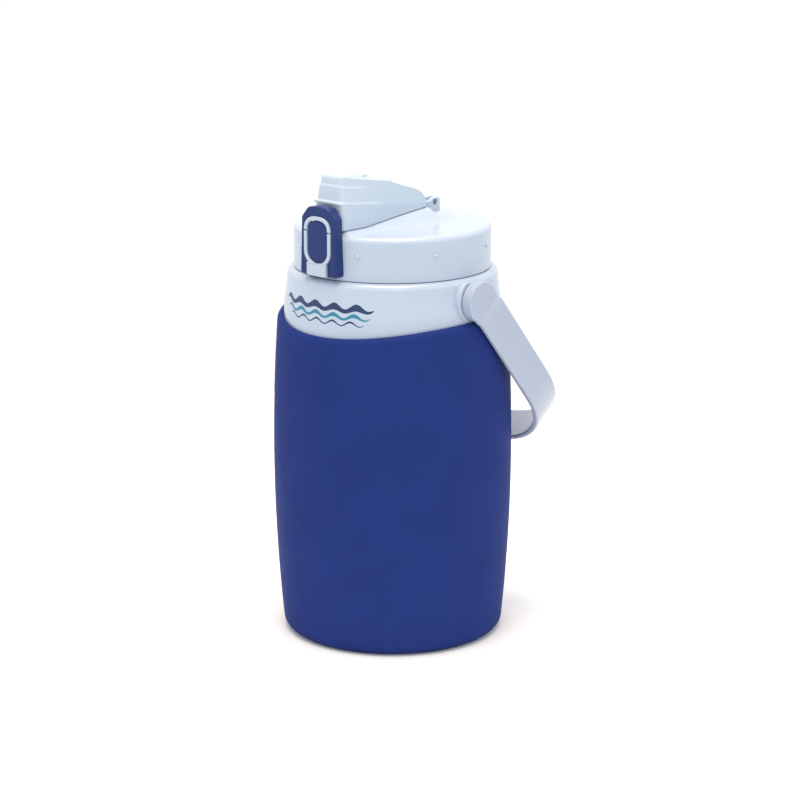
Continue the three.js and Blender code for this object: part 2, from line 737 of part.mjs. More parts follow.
const lidGroup = new THREE.Group();
add(lidGroup, 'lid_gasket', lidGasket(), silicone());
add(lidGroup, 'lid_shell', lidShell(), whiteGloss());
add(lidGroup, 'lid_inner_cup', lidInnerCup(), whiteInner());
add(lidGroup, 'lid_foam', lidFoam(), foamYellow());
add(lidGroup, 'spout_tube', spoutTube(), whiteInner());
add(lidGroup, 'spout_o_ring', spoutORing(), rubber());
add(lidGroup, 'vent_valve', ventValve(), silicone());

const coverGroup = new THREE.Group();
add(coverGroup, 'cover_hinge_pin', coverHingePin(), steel());
add(coverGroup, 'cover_spring', coverSpring(), steel());
add(coverGroup, 'spout_cover', spoutCover(), whiteGloss());
add(coverGroup, 'spout_seal', spoutSeal(), silicone());

const latchGroup = new THREE.Group();
add(latchGroup, 'latch_bezel', latchBezel(), blueGloss());
add(latchGroup, 'lock_ring', lockRing(), whiteGloss());
add(latchGroup, 'lock_ring_pin', latchPin(ringPin), steel());
add(latchGroup, 'release_button', releaseButton(), blueGloss());
add(latchGroup, 'button_pin', latchPin(buttonPin), steel());
add(latchGroup, 'button_spring', buttonSpring(), steel());

lidGroup.add(coverGroup, latchGroup);
jug.add(jugBody, lidGroup);

export default jug;
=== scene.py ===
import math

import bmesh
import bpy
import numpy as np
from mathutils import Matrix, Vector


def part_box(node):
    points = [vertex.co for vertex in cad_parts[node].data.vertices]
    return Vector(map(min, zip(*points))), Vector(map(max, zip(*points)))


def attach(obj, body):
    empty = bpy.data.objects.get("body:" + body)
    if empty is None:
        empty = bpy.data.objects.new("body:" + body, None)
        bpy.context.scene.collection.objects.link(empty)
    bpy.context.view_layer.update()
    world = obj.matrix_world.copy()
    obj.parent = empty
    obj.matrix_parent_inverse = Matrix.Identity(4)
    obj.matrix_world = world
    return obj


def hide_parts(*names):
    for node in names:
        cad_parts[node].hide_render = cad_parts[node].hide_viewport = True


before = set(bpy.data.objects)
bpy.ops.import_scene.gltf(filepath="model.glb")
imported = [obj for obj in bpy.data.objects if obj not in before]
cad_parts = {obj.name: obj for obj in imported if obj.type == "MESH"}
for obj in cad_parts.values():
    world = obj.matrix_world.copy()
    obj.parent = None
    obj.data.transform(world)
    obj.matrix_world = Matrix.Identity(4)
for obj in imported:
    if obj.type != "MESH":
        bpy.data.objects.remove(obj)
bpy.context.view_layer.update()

# Lengths are in millimetres until raw() and the transforms scale them by MM into metres.
MM = 0.001
ROUND = 160  # sides of the large turned pieces
SQUARENESS = 2.6  # exponent of the latch's arches: 2 is an ellipse, more is squarer

# ------------------------------------------------------------------ camera and light

AZIMUTH = math.radians(42.5)
CAMERA_DISTANCE = 1.636
CAMERA_HEIGHT = 0.563
CAMERA_AIM = Vector((0.0035, 0.0032, 0.1496))
CAMERA_LENS = 117.95


def look_at(thing, aim):
    thing.rotation_euler = (aim - thing.location).to_track_quat("-Z", "Y").to_euler()


def add_camera():
    camera = bpy.data.objects.new("camera", bpy.data.cameras.new("camera"))
    camera.data.lens = CAMERA_LENS
    camera.data.clip_end = 20
    camera.location = (CAMERA_DISTANCE * math.sin(AZIMUTH), -CAMERA_DISTANCE * math.cos(AZIMUTH),
                       CAMERA_HEIGHT)
    look_at(camera, CAMERA_AIM)
    bpy.context.scene.collection.objects.link(camera)
    bpy.context.scene.camera = camera


def add_area_light(name, azimuth, elevation, distance, size, watts, color=(1, 1, 1)):
    lamp = bpy.data.lights.new(name, "AREA")
    lamp.shape = "RECTANGLE"
    lamp.size, lamp.size_y = size
    lamp.energy = watts
    lamp.color = color
    light = bpy.data.objects.new(name, lamp)
    side = math.cos(math.radians(elevation)) * distance
    turn = math.radians(azimuth)
    light.location = (side * math.sin(turn), -side * math.cos(turn),
                      0.15 + distance * math.sin(math.radians(elevation)))
    look_at(light, Vector((0, 0, 0.16)))
    bpy.context.scene.collection.objects.link(light)


def add_studio():
    world = bpy.data.worlds.new("studio")
    world.use_nodes = True
    world.node_tree.nodes["Background"].inputs["Color"].default_value = (1, 1, 1, 1)
    world.node_tree.nodes["Background"].inputs["Strength"].default_value = 1.03
    bpy.context.scene.world = world
    bpy.context.scene.view_settings.view_transform = "Standard"
    add_area_light("top_softbox", 20, 86, 1.6, (0.9, 0.9), 24, (1, 0.84, 0.68))
    add_area_light("edge_light", 48, 38, 1.8, (0.22, 0.22), 1.3)
    floor_mesh = bpy.data.meshes.new("floor")
    half = 0.5
    floor_mesh.from_pydata([(-half, -half, 0), (half, -half, 0), (half, half, 0), (-half, half, 0)],
                           [], [(0, 1, 2, 3)])
    floor = bpy.data.objects.new("floor", floor_mesh)
    bpy.context.scene.collection.objects.link(floor)
    floor_mesh.materials.append(floor_material())


# ------------------------------------------------------------------ materials


class Nodes:
    """A short way to build one material's node tree."""

    def __init__(self, name):
        self.material = bpy.data.materials.new(name)
        self.material.use_nodes = True
        self.tree = self.material.node_tree
        self.shader = self.tree.nodes["Principled BSDF"]
        self.where = self.add("ShaderNodeTexCoord").outputs["Object"]

    def add(self, kind, **inputs):
        node = self.tree.nodes.new(kind)
        for key, value in inputs.items():
            self.put(node.inputs[key.replace("_", " ")], value)
        return node

    def put(self, socket, value):
        if isinstance(value, bpy.types.NodeSocket):
            self.tree.links.new(value, socket)
        else:
            socket.default_value = value

    def set(self, **inputs):
        for key, value in inputs.items():
            self.put(self.shader.inputs[key.replace("_", " ")], value)

    def noise(self, scale, detail=2.0, roughness=0.5):
        node = self.add("ShaderNodeTexNoise", Vector=self.where, Scale=scale, Detail=detail,
                        Roughness=roughness)
        return node.outputs["Fac"]

    def cells(self, scale, smoothness=1.0):
        node = self.tree.nodes.new("ShaderNodeTexVoronoi")
        node.feature = "SMOOTH_F1"
        for key, value in (("Vector", self.where), ("Scale", scale), ("Smoothness", smoothness)):
            self.put(node.inputs[key], value)
        return node.outputs["Distance"]

    def span(self, value, low, high, from_low=0.0, from_high=1.0):
        node = self.add("ShaderNodeMapRange", Value=value)
        node.inputs["From Min"].default_value = from_low
        node.inputs["From Max"].default_value = from_high
        node.inputs["To Min"].default_value = low
        node.inputs["To Max"].default_value = high
        return node.outputs["Result"]

    def mix(self, factor, first, second):
        node = self.tree.nodes.new("ShaderNodeMix")
        node.data_type = "RGBA"
        for socket, value in ((node.inputs[0], factor), (node.inputs[6], first), (node.inputs[7], second)):
            self.put(socket, value)
        return node.outputs[2]

    def sum(self, first, second, weight=1.0):
        node = self.tree.nodes.new("ShaderNodeMath")
        node.operation = "MULTIPLY_ADD"
        for socket, value in zip(node.inputs, (second, weight, first)):
            self.put(socket, value)
        return node.outputs[0]

    def bump(self, height, strength, distance):
        node = self.add("ShaderNodeBump", Height=height, Strength=strength, Distance=distance)
        self.put(self.shader.inputs["Normal"], node.outputs["Normal"])


def rgba(color, shade=1.0):
    return tuple(min(1.0, c * shade) for c in color) + (1.0,)


def pebbled_material(name, color):
    """Blow-moulded plastic with a fine leathery grain."""
    mat = Nodes(name)
    grain = mat.cells(780)
    fine = mat.noise(2600, 3)
    broad = mat.noise(28, 2)
    mat.set(Base_Color=mat.mix(mat.span(broad, 0, 1, 0.3, 0.7), rgba(color, 0.94), rgba(color, 1.06)),
            Roughness=mat.span(grain, 0.42, 0.6, 0.1, 0.6))
    mat.shader.inputs["Specular IOR Level"].default_value = 0.02
    mat.bump(mat.sum(grain, fine, 0.35), 0.4, 0.0005)
    return mat.material


def moulded_material(name, color, rough=0.25, specular=0.5):
    """Smooth injection-moulded plastic: slight shade drift, orange peel and handling marks."""
    mat = Nodes(name)
    drift = mat.noise(18, 2)
    marks = mat.noise(260, 4, 0.65)
    mat.set(Base_Color=mat.mix(mat.span(drift, 0, 1, 0.3, 0.7), rgba(color, 0.975), rgba(color, 1.02)),
            Roughness=mat.span(marks, rough - 0.05, rough + 0.08, 0.3, 0.7))
    mat.shader.inputs["Specular IOR Level"].default_value = specular
    mat.bump(mat.noise(120, 1), 0.02, 0.0004)
    return mat.material


def rubber_material(name, color, rough=0.6):
    mat = Nodes(name)
    dust = mat.noise(90, 4)
    mat.set(Base_Color=mat.mix(dust, rgba(color, 0.85), rgba(color, 1.2)),
            Roughness=mat.span(dust, rough - 0.1, rough + 0.15, 0.3, 0.7))
    mat.bump(mat.noise(1500, 2), 0.2, 0.0002)
    return mat.material


def steel_material(name):
    mat = Nodes(name)
    stretch = mat.add("ShaderNodeMapping", Vector=mat.where, Scale=(60, 3000, 3000))
    lines = mat.add("ShaderNodeTexNoise", Vector=stretch.outputs[0], Scale=1.0, Detail=2.0)
    streak = lines.outputs["Fac"]
    mat.set(Base_Color=mat.mix(streak, (0.13, 0.14, 0.16, 1), (0.24, 0.26, 0.3, 1)),
            Roughness=mat.span(streak, 0.28, 0.45))
    mat.shader.inputs["Metallic"].default_value = 1.0
    mat.bump(streak, 0.1, 0.0001)
    return mat.material


def foam_material(name):
    mat = Nodes(name)
    pores = mat.cells(900)
    mat.set(Base_Color=mat.mix(pores, (0.78, 0.68, 0.4, 1), (0.88, 0.8, 0.55, 1)),
            Roughness=mat.span(pores, 0.8, 0.95))
    mat.bump(pores, 0.6, 0.0006)
    return mat.material


def floor_material():
    mat = Nodes("studio_floor")
    faint = mat.noise(3, 2)
    mat.set(Base_Color=mat.mix(faint, (0.96, 0.96, 0.96, 1), (0.98, 0.98, 0.98, 1)), Roughness=0.9)
    mat.shader.inputs["Specular IOR Level"].default_value = 0.1
    return mat.material


SHELL_BLUE = (0.017, 0.0345, 0.172)
LATCH_BLUE = (0.01, 0.028, 0.138)
PLASTIC_WHITE = (0.44, 0.525, 0.65)
# The same white plastic made lighter, as painted light on the spout cover's sides.
COVER_WHITE_LIT = (0.475, 0.572, 0.685)
# The same white plastic made darker, as painted shade on the handle's strap.
STRAP_WHITE_SHADED = (0.375, 0.437, 0.56)
LINER_WHITE = (0.82, 0.83, 0.83)
SILICONE_GREY = (0.62, 0.67, 0.7)
INK_NAVY = (0.008, 0.03, 0.11)
INK_TEAL = (0.02, 0.2, 0.3)

MATERIALS = {
    "shell_blue": pebbled_material("shell_blue", SHELL_BLUE),
    "shell_white": moulded_material("shell_white", PLASTIC_WHITE, 0.2, 0.6),
    # Lighter copy of the white plastic: painted light for the cover.
    "cover_white_painted_light": moulded_material("cover_white_painted_light", COVER_WHITE_LIT, 0.2, 0.6),
    # Darker copy of the white plastic: painted shade for the strap.
    "strap_white_painted_shade": moulded_material("strap_white_painted_shade", STRAP_WHITE_SHADED, 0.25, 0.5),
    "latch_blue": moulded_material("latch_blue", LATCH_BLUE, 0.22, 0.3),
    "liner_white": moulded_material("liner_white", LINER_WHITE, 0.4),
    "silicone": rubber_material("silicone", SILICONE_GREY, 0.5),
    "rubber_dark": rubber_material("rubber_dark", (0.03, 0.032, 0.036), 0.65),
    "steel": steel_material("steel"),
    "foam": foam_material("foam"),
    "ink_navy": moulded_material("ink_navy", INK_NAVY, 0.35),
    "ink_teal": moulded_material("ink_teal", INK_TEAL, 0.35),
}

# ------------------------------------------------------------------ mesh tools


def raw(name, points, faces):
    """An object from points in millimetres, merged and facing outwards."""
    mesh = bpy.data.meshes.new(name)
    bm = bmesh.new()
    verts = [bm.verts.new(Vector(p) * MM) for p in points]
    for face in faces:
        corners = list(dict.fromkeys(face))
        if len(corners) > 2:
            try:
                bm.faces.new([verts[i] for i in corners])
            except ValueError:
                pass
    bmesh.ops.remove_doubles(bm, verts=bm.verts, dist=2e-6)
    bmesh.ops.dissolve_degenerate(bm, edges=bm.edges, dist=1e-7)
    loose = [v for v in bm.verts if not v.link_faces]
    bmesh.ops.delete(bm, geom=loose, context="VERTS")
    bmesh.ops.recalc_face_normals(bm, faces=bm.faces)
    bm.to_mesh(mesh)
    bm.free()
    obj = bpy.data.objects.new(name, mesh)
    bpy.context.scene.collection.objects.link(obj)
    return obj


def settle(obj):
    """Applies an object's modifiers to its mesh."""
    bpy.context.view_layer.update()
    graph = bpy.context.evaluated_depsgraph_get()
    mesh = bpy.data.meshes.new_from_object(obj.evaluated_get(graph))
    old = obj.data
    obj.modifiers.clear()
    obj.data = mesh
    bpy.data.meshes.remove(old)
    return obj


def combine(obj, operation, *tools):
    """Joins ("UNION") or cuts ("DIFFERENCE") closed tools into an object, and removes them."""
    for tool in tools:
        step = obj.modifiers.new("combine", "BOOLEAN")
        step.operation = operation
        step.solver = "MANIFOLD"
        step.object = tool
        settle(obj)
        bpy.data.objects.remove(tool)
    return obj


def finish_piece(obj, slot, body, *nodes, material=None, sharp=32):
    """Shading, material and place of one finished piece."""
    mesh = obj.data
    mesh.materials.clear()
    mesh.materials.append(MATERIALS[material or slot])
    mesh.polygons.foreach_set("use_smooth", [True] * len(mesh.polygons))
    mesh.set_sharp_from_angle(angle=math.radians(sharp))
    weighted = obj.modifiers.new("weighted", "WEIGHTED_NORMAL")
    weighted.keep_sharp = True
    settle(obj)
    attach(obj, body)
    if nodes:
        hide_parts(*nodes)
    return obj


def rounded(points, closed=True, steps=4):
    """A polyline of (x, y, radius) corners with each corner turned into a curve."""
    result = []
    count = len(points)
    for i, (x, y, *rest) in enumerate(points):
        radius = rest[0] if rest else 0
        at = Vector((x, y))
        if radius == 0 or (not closed and i in (0, count - 1)):
            result.append((x, y))
            continue
        back = Vector(points[i - 1][:2]) - at
        ahead = Vector(points[(i + 1) % count][:2]) - at
        half = back.angle(ahead) / 2
        reach = min(radius / math.tan(half), 0.49 * back.length, 0.49 * ahead.length)
        start = at + back.normalized() * reach
        end = at + ahead.normalized() * reach
        for k in range(steps + 1):
            t = k / steps
            point = start * (1 - t) ** 2 + at * (2 * t * (1 - t)) + end * t ** 2
            result.append((point.x, point.y))
    return result


def arc(cx, cy, a, b, start, end, steps):
    turns = [math.radians(start + (end - start) * i / steps) for i in range(steps + 1)]
    return [(cx + a * math.cos(t), cy + b * math.sin(t)) for t in turns]


def square_arc(at, half, rise, start, end, steps, squareness=SQUARENESS):
    """A squarish part of a loop about (0, at), with evenly spaced points."""
    dense = []
    for x, z in arc(0, 0, 1, 1, start, end, steps * 12):
        share = [math.copysign(abs(value) ** (2 / squareness), value) for value in (x, z)]
        dense.append((half * share[0], at + rise * share[1]))
    lengths = [0.0]
    for first, second in zip(dense, dense[1:]):
        lengths.append(lengths[-1] + math.dist(first, second))
    wanted = np.linspace(0, lengths[-1], steps + 1)
    return [(float(np.interp(w, lengths, [p[0] for p in dense])),
             float(np.interp(w, lengths, [p[1] for p in dense]))) for w in wanted]


def revolve(name, profile, sides=ROUND, warp=None):
    """Turns a closed (radius, height) profile about +Z; a profile may start and end on the axis."""
    points, faces, rings = [], [], []
    for r, z in profile:
        if abs(r) < 1e-6:
            rings.append([len(points)] * sides)
            points.append((0, 0, z))
            continue
        rings.append(range(len(points), len(points) + sides))
        for i in range(sides):
            turn = 2 * math.pi * i / sides
            points.append((r * math.cos(turn), r * math.sin(turn), z))
    if warp:
        points = [warp(*p) for p in points]
    on_axis = profile[0][0] < 1e-6 and profile[-1][0] < 1e-6
    pairs = list(zip(rings, rings[1:]))
    if not on_axis:
        pairs.append((rings[-1], rings[0]))
    for low, high in pairs:
        for i in range(sides):
            j = (i + 1) % sides
            faces.append((low[i], low[j], high[j], high[i]))
    return raw(name, points, faces)


def loft(name, loops, caps=True, ring=False):
    """Skins equal-length closed loops of 3D points, and caps or joins the ends."""
    size = len(loops[0])
    points = [p for loop in loops for p in loop]
    faces = []
    spans = len(loops) if ring else len(loops) - 1
    for k in range(spans):
        low = k * size
        high = (k + 1) % len(loops) * size
        for i in range(size):
            j = (i + 1) % size
            faces.append((low + i, low + j, high + j, high + i))
    if caps and not ring:
        faces.append(tuple(range(size - 1, -1, -1)))
        faces.append(tuple(range((len(loops) - 1) * size, len(loops) * size)))
    return raw(name, points, faces)


def inset(loop, distance):
    """Moves a 2D anticlockwise loop inwards along its corner bisectors."""
    result = []
    count = len(loop)
    for i in range(count):
        at = Vector(loop[i])
        before = (at - Vector(loop[i - 1])).normalized()
        after = (Vector(loop[(i + 1) % count]) - at).normalized()
        normal = Vector((-before.y - after.y, before.x + after.x))
        if normal.length < 1e-9:
            result.append(tuple(at))
            continue
        normal.normalize()
        stretch = 1 / max(0.5, normal.dot(Vector((-before.y, before.x))))
        result.append(tuple(at + normal * distance * stretch))
    return result


def anticlockwise(loop):
    area = sum(a[0] * b[1] - b[0] * a[1] for a, b in zip(loop, loop[1:] + loop[:1]))
    return loop if area > 0 else loop[::-1]


def plate(name, loop, start, end, edge, place, steps=4):
    """Extrudes a 2D loop between two depths with rounded edges; place maps (x, y, depth) to 3D."""
    loop = anticlockwise(loop)
    loops = []
    for k in range(steps + 1):
        turn = math.pi / 2 * k / steps
        shape = inset(loop, edge * (1 - math.sin(turn)))
        depth = start + edge * (1 - math.cos(turn))
        loops.append([place(x, y, depth) for x, y in shape])
    for k in range(steps, -1, -1):
        turn = math.pi / 2 * k / steps
        shape = inset(loop, edge * (1 - math.sin(turn)))
        depth = end - edge * (1 - math.cos(turn))
        loops.append([place(x, y, depth) for x, y in shape])
    return loft(name, loops)


def facing_front(x, z, depth):
    """Plates seen from the front: depth is measured back from y = 0 towards +Y."""
    return (x, depth, z)


def facing_side(y, z, depth):
    return (depth, y, z)


def rod(name, radius, start, end, y, z, edge=0.2, sides=48):
    """A round bar along X with rounded ends."""
    profile = rounded([(0, start), (radius, start, edge), (radius, end, edge), (0, end)], closed=False)
    bar = revolve(name, profile, sides)
    bar.data.transform(Matrix.Translation(Vector((0, y, z)) * MM) @ Matrix.Rotation(math.pi / 2, 4, "Y"))
    return bar


def box_outline(left, right, low, high):
    return [(left, low), (right, low), (right, high), (left, high)]


def bore_along(pin, radius, reach):
    """A plain cutter along X for the hole of a pin."""
    return rod("bore", radius, -reach, reach, pin.y, pin.z, 0.0, 32)


def move(obj, at):
    obj.data.transform(Matrix.Translation(Vector(at) * MM))


def sweep(name, path, section, closed=False):
    """Carries a 2D section along a path of (point, side, up) frames, all Vectors."""
    loops = [[tuple(at + side * x + up * y) for x, y in section] for at, side, up in path]
    return loft(name, loops, ring=closed)


def smoothstep(value, low, high):
    t = min(1.0, max(0.0, (value - low) / (high - low)))
    return t * t * (3 - 2 * t)


def piecewise(points, value):
    """A smooth curve through (x, y) points, by monotone cubic steps."""
    xs = [p[0] for p in points]
    ys = [p[1] for p in points]
    if value <= xs[0]:
        return ys[0]
    if value >= xs[-1]:
        return ys[-1]
    slopes = [(ys[i + 1] - ys[i]) / (xs[i + 1] - xs[i]) for i in range(len(xs) - 1)]
    k = max(i for i in range(len(xs) - 1) if xs[i] <= value)

    def tangent(i):
        if i == 0 or i == len(xs) - 1:
            return slopes[min(i, len(slopes) - 1)]
        first, second = slopes[i - 1], slopes[i]
        return 0.0 if first * second <= 0 else 2 * first * second / (first + second)

    width = xs[k + 1] - xs[k]
    t = (value - xs[k]) / width
    h00 = (1 + 2 * t) * (1 - t) ** 2
    h10 = t * (1 - t) ** 2
    h01 = t * t * (3 - 2 * t)
    h11 = t * t * (t - 1)
    return h00 * ys[k] + h10 * width * tangent(k) + h01 * ys[k + 1] + h11 * width * tangent(k + 1)


def cad_middle(node):
    low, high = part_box(node)
    return (low + high) / 2 / MM


def cad_low(node):
    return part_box(node)[0] / MM


def cad_high(node):
    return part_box(node)[1] / MM


# ------------------------------------------------------------------ jug body

BELLY_RADIUS = cad_high("outer_shell").x
BELLY_HEIGHT = 118
FOOT_RADIUS, FOOT_CORNER = 71.2, 8
SHOULDER_RADIUS, SHOULDER_HEIGHT = 73.6, 203.3
LIP_RADIUS, LIP_RISE = 69.8, 4.4
WAVE_HEIGHT = 4.1
COLLAR_TOP = cad_high("collar").z
PIVOT_HEIGHT = cad_middle("handle_stud_right").z


def barrel_radius(z):
    below = z < BELLY_HEIGHT
    end = FOOT_CORNER if below else SHOULDER_HEIGHT
    drop = BELLY_RADIUS - (FOOT_RADIUS if below else SHOULDER_RADIUS)
    return BELLY_RADIUS - drop * ((z - BELLY_HEIGHT) / (end - BELLY_HEIGHT)) ** 2


def wave(x, y, z, low, high):
    swing = math.cos(2 * math.atan2(y, x))
    return z + smoothstep(z, low, high) * WAVE_HEIGHT * swing


def shell_wave(x, y, z):
    return x, y, wave(x, y, z, 150, 196)


def collar_wave(x, y, z):
    share = 1 - smoothstep(z, 208, 224)
    return x, y, z + share * WAVE_HEIGHT * math.cos(2 * math.atan2(y, x))


def barrel_side(start, end, steps, depth=0.0):
    heights = [start + (end - start) * i / steps for i in range(steps + 1)]
    return [(barrel_radius(z) - depth, z) for z in heights]


def build_outer_shell():
    lip_top = SHOULDER_HEIGHT + LIP_RISE
    ledge = lip_top - 8.7
    hole = cad_high("base_plug").x - 2.5
    profile = rounded([(hole, 4.2), (hole, 1.6), (47.5, 1.6, 1.5), (51, 0.02, 1.5)], closed=False)[:-1]
    profile += arc(FOOT_RADIUS - FOOT_CORNER, FOOT_CORNER, FOOT_CORNER, FOOT_CORNER, -90, 0, 12)
    profile += barrel_side(FOOT_CORNER, SHOULDER_HEIGHT, 48)[1:]
    profile += arc(LIP_RADIUS, SHOULDER_HEIGHT, SHOULDER_RADIUS - LIP_RADIUS, LIP_RISE, 0, 82, 10)[1:]
    profile += [(LIP_RADIUS + 0.15, lip_top - 0.15), (LIP_RADIUS - 0.15, lip_top - 0.5),
                (LIP_RADIUS - 0.2, ledge), (65.6, ledge), (65.6, ledge - 2.6)]
    profile += barrel_side(9, 188, 10, 2.6)[::-1]
    profile += [(FOOT_RADIUS - FOOT_CORNER, 4.2)]
    shell = revolve("body_shell", profile, ROUND, shell_wave)
    finish_piece(shell, "shell_blue", "jug_body", "outer_shell")


def build_base_plug():
    radius = cad_high("base_plug").x
    stem = radius - 2.8
    top = cad_high("base_plug").z
    profile = rounded([(0, 0.9), (4.5, 0.9, 0.4), (5.4, 0, 0.4), (stem, 0, 0.6), (stem, 4.5),
                       (radius, 4.5, 0.3), (radius, top, 0.5), (0, top)], closed=False)
    plug = revolve("base_plug_cap", profile, 64)
    finish_piece(plug, "rubber_dark", "jug_body", "base_plug")


COLLAR_SIDE = [(69.3, 199.6), (69.3, 208), (69.0, 215), (67.8, 225), (67.1, 231)]


def collar_radius(z):
    return piecewise([(height, radius) for radius, height in COLLAR_SIDE], z)


def build_collar():
    outer = [(collar_radius(z), z) for z in np.linspace(199.6, 231, 36)]
    rim = arc(62.4, COLLAR_TOP - 4.6, 4.6, 4.6, 12, 90, 10)
    profile = outer + rim
    profile += rounded([(61, COLLAR_TOP), (54.5, COLLAR_TOP, 0.6), (54.5, 234.8, 0.4), (63.3, 234.8, 1),
                        (64.5, 225), (65.7, 215), (66.2, 199.6)], closed=False)
    collar = revolve("collar_ring", profile, ROUND, collar_wave)
    for side in (-1, 1):
        pad = revolve("pad", rounded([(0, 0), (15, 0), (15, 4.8, 1.2), (0, 4.8)], closed=False), 72)
        turn = Matrix.Rotation(side * math.pi / 2, 4, "Y")
        pad.data.transform(Matrix.Translation(Vector((side * 64.6, 0, PIVOT_HEIGHT)) * MM) @ turn)
        trim = plate("trim", [(-20, 212.3), (20, 212.3), (20, 236.7), (-20, 236.7)],
                     *sorted((side * 60, side * 75)), 0.0, facing_side, 1)
        combine(pad, "INTERSECT", trim)
        combine(collar, "UNION", pad)
    combine(collar, "DIFFERENCE", rod("bore", 5.3, -80, 80, 0, PIVOT_HEIGHT, 0.0))
    finish_piece(collar, "shell_white", "jug_body", "collar")


def build_liner():
    floor, radius, outer = 19.5, 58.5, 60.5
    top = cad_high("inner_liner").z
    profile = rounded([
        (0, floor), (outer - 2, floor, 8), (outer, 206, 6), (51, 215, 3), (51, top, 0.6),
        (49, top, 0.6), (49, 215.6, 3), (radius, 206.6, 6), (radius, floor + 3, 5), (0, floor + 2),
    ], closed=False, steps=6)
    liner = revolve("liner_vessel", profile, 128)
    finish_piece(liner, "liner_white", "jug_body", "inner_liner")
    for start in range(2):
        thread = thread_ridge(f"neck_thread_{start + 1}", 50.6, 53.2, 2.1, 241.5, 1.0, start * math.pi)
        finish_piece(thread, "liner_white", "jug_body")


def thread_ridge(name, root, crest, width, bottom, turns, start):
    """One start of a round-crested thread with run-out ends."""
    steps = int(96 * turns)
    path = []
    for i in range(steps + 1):
        along = i / steps
        grow = smoothstep(min(along, 1 - along), 0, 0.05) * 0.92 + 0.08
        turn = start + 2 * math.pi * turns * along
        out = Vector((math.cos(turn), math.sin(turn), 0))
        base = out * root + Vector((0, 0, bottom + 10 * turns * along))
        path.append((base, out * (crest - root) * grow, Vector((0, 0, width / 2)) * (0.5 + 0.5 * grow)))
    section = [(-0.2, -1), (0.25, -0.95), (0.75, -0.7), (1, -0.35), (1, 0.35), (0.75, 0.7), (0.25, 0.95),
               (-0.2, 1)]
    return sweep(name, path, section)


def build_soft_ring(name, node, body, slot, sides=128):
    """A moulded ring with rounded edges in the place of a CAD ring about the jug's axis."""
    low, high = cad_low(node), cad_high(node)
    inner = {"neck_seal_ring": 51.3, "lid_gasket": 48.2}[node]
    edge = (high.z - low.z) * 0.35
    profile = rounded([(inner, low.z, edge), (high.x, low.z, edge), (high.x, high.z, edge),
                       (inner, high.z, edge)])
    finish_piece(revolve(name, profile, sides), slot, body, node)


# ------------------------------------------------------------------ printed mark

MARK_FROM, MARK_TO = -31, 33  # degrees from the front, towards +X


def collar_point(turn, z, lift):
    """A point over the collar's wall, at an angle from the front and a real height."""
    swing = -math.cos(2 * turn)
    flat = z
    for _ in range(20):
        flat = z - WAVE_HEIGHT * (1 - smoothstep(flat, 208, 224)) * swing
    radius = collar_radius(flat) + lift
    return (radius * math.sin(turn), -radius * math.cos(turn), z)


def mark_ribbon(name, height, thickness, swell, waves, ink, start, end):
    """A printed wave band lying on the collar, thick on the crests and thin in the troughs."""
    steps, rows = 160, 4
    proud, depth = 0.05, 0.3
    loops = []
    for i in range(steps + 1):
        t = i / steps
        turn = math.radians(start + (end - start) * t)
        phase = 2 * math.pi * waves * t
        taper = min(1.0, 9 * min(t, 1 - t)) ** 0.5 + 0.02
        half = thickness / 2 * taper * (0.8 + 0.2 * math.sin(phase))
        middle = height + swell * math.sin(phase)
        rise = [middle - half + 2 * half * k / rows for k in range(rows + 1)]
        loops.append([collar_point(turn, z, proud) for z in rise]
                     + [collar_point(turn, z, -depth) for z in rise[::-1]])
    finish_piece(loft(name, loops), "latch_blue", "jug_body", material=ink, sharp=60)


def build_mark():
    """A plain band of waves, standing in for the printed name on the collar."""
    mark_ribbon("mark_wave_upper", 222.6, 4.2, 1.3, 5, "ink_navy", MARK_FROM, MARK_TO)
    mark_ribbon("mark_wave_middle", 217.6, 2.4, 1.3, 5, "ink_teal", MARK_FROM + 3, MARK_TO - 2)
    mark_ribbon("mark_wave_lower", 213.6, 1.2, 1.3, 5, "ink_navy", MARK_FROM + 7, MARK_TO - 5)


# ------------------------------------------------------------------ handle

REST_ANGLE = math.radians(50)
HUB_INNER, HUB_OUTER, HUB_RADIUS = 69.8, 77.0, 13
STRAP_THICK, STRAP_WIDTH = 4.0, 24.0
HALF_SPAN, REACH, BEND = 79.0, 141.0, 61.5
BOW_SQUARENESS = 2.12


def strap_middle(v):
    """Distance from the jug's middle plane to the strap's middle, at v along the arm."""
    outer = HUB_OUTER + (HALF_SPAN - HUB_OUTER) * smoothstep(v, 6, 10.5)
    return outer - STRAP_THICK / 2


def strap_path():
    """Middle line of the right arm from below the hub to the crosspiece, then the left arm."""
    arm = [(strap_middle(v), v) for v in np.linspace(-HUB_RADIUS, REACH - BEND, 92)]
    half = HALF_SPAN - STRAP_THICK / 2
    rise = BEND - STRAP_THICK / 2
    bow = square_arc(REACH - BEND, half, rise, 0, 90, 90, BOW_SQUARENESS)[1:]
    right = arm + bow
    return right + [(-x, y) for x, y in right[::-1][1:]]


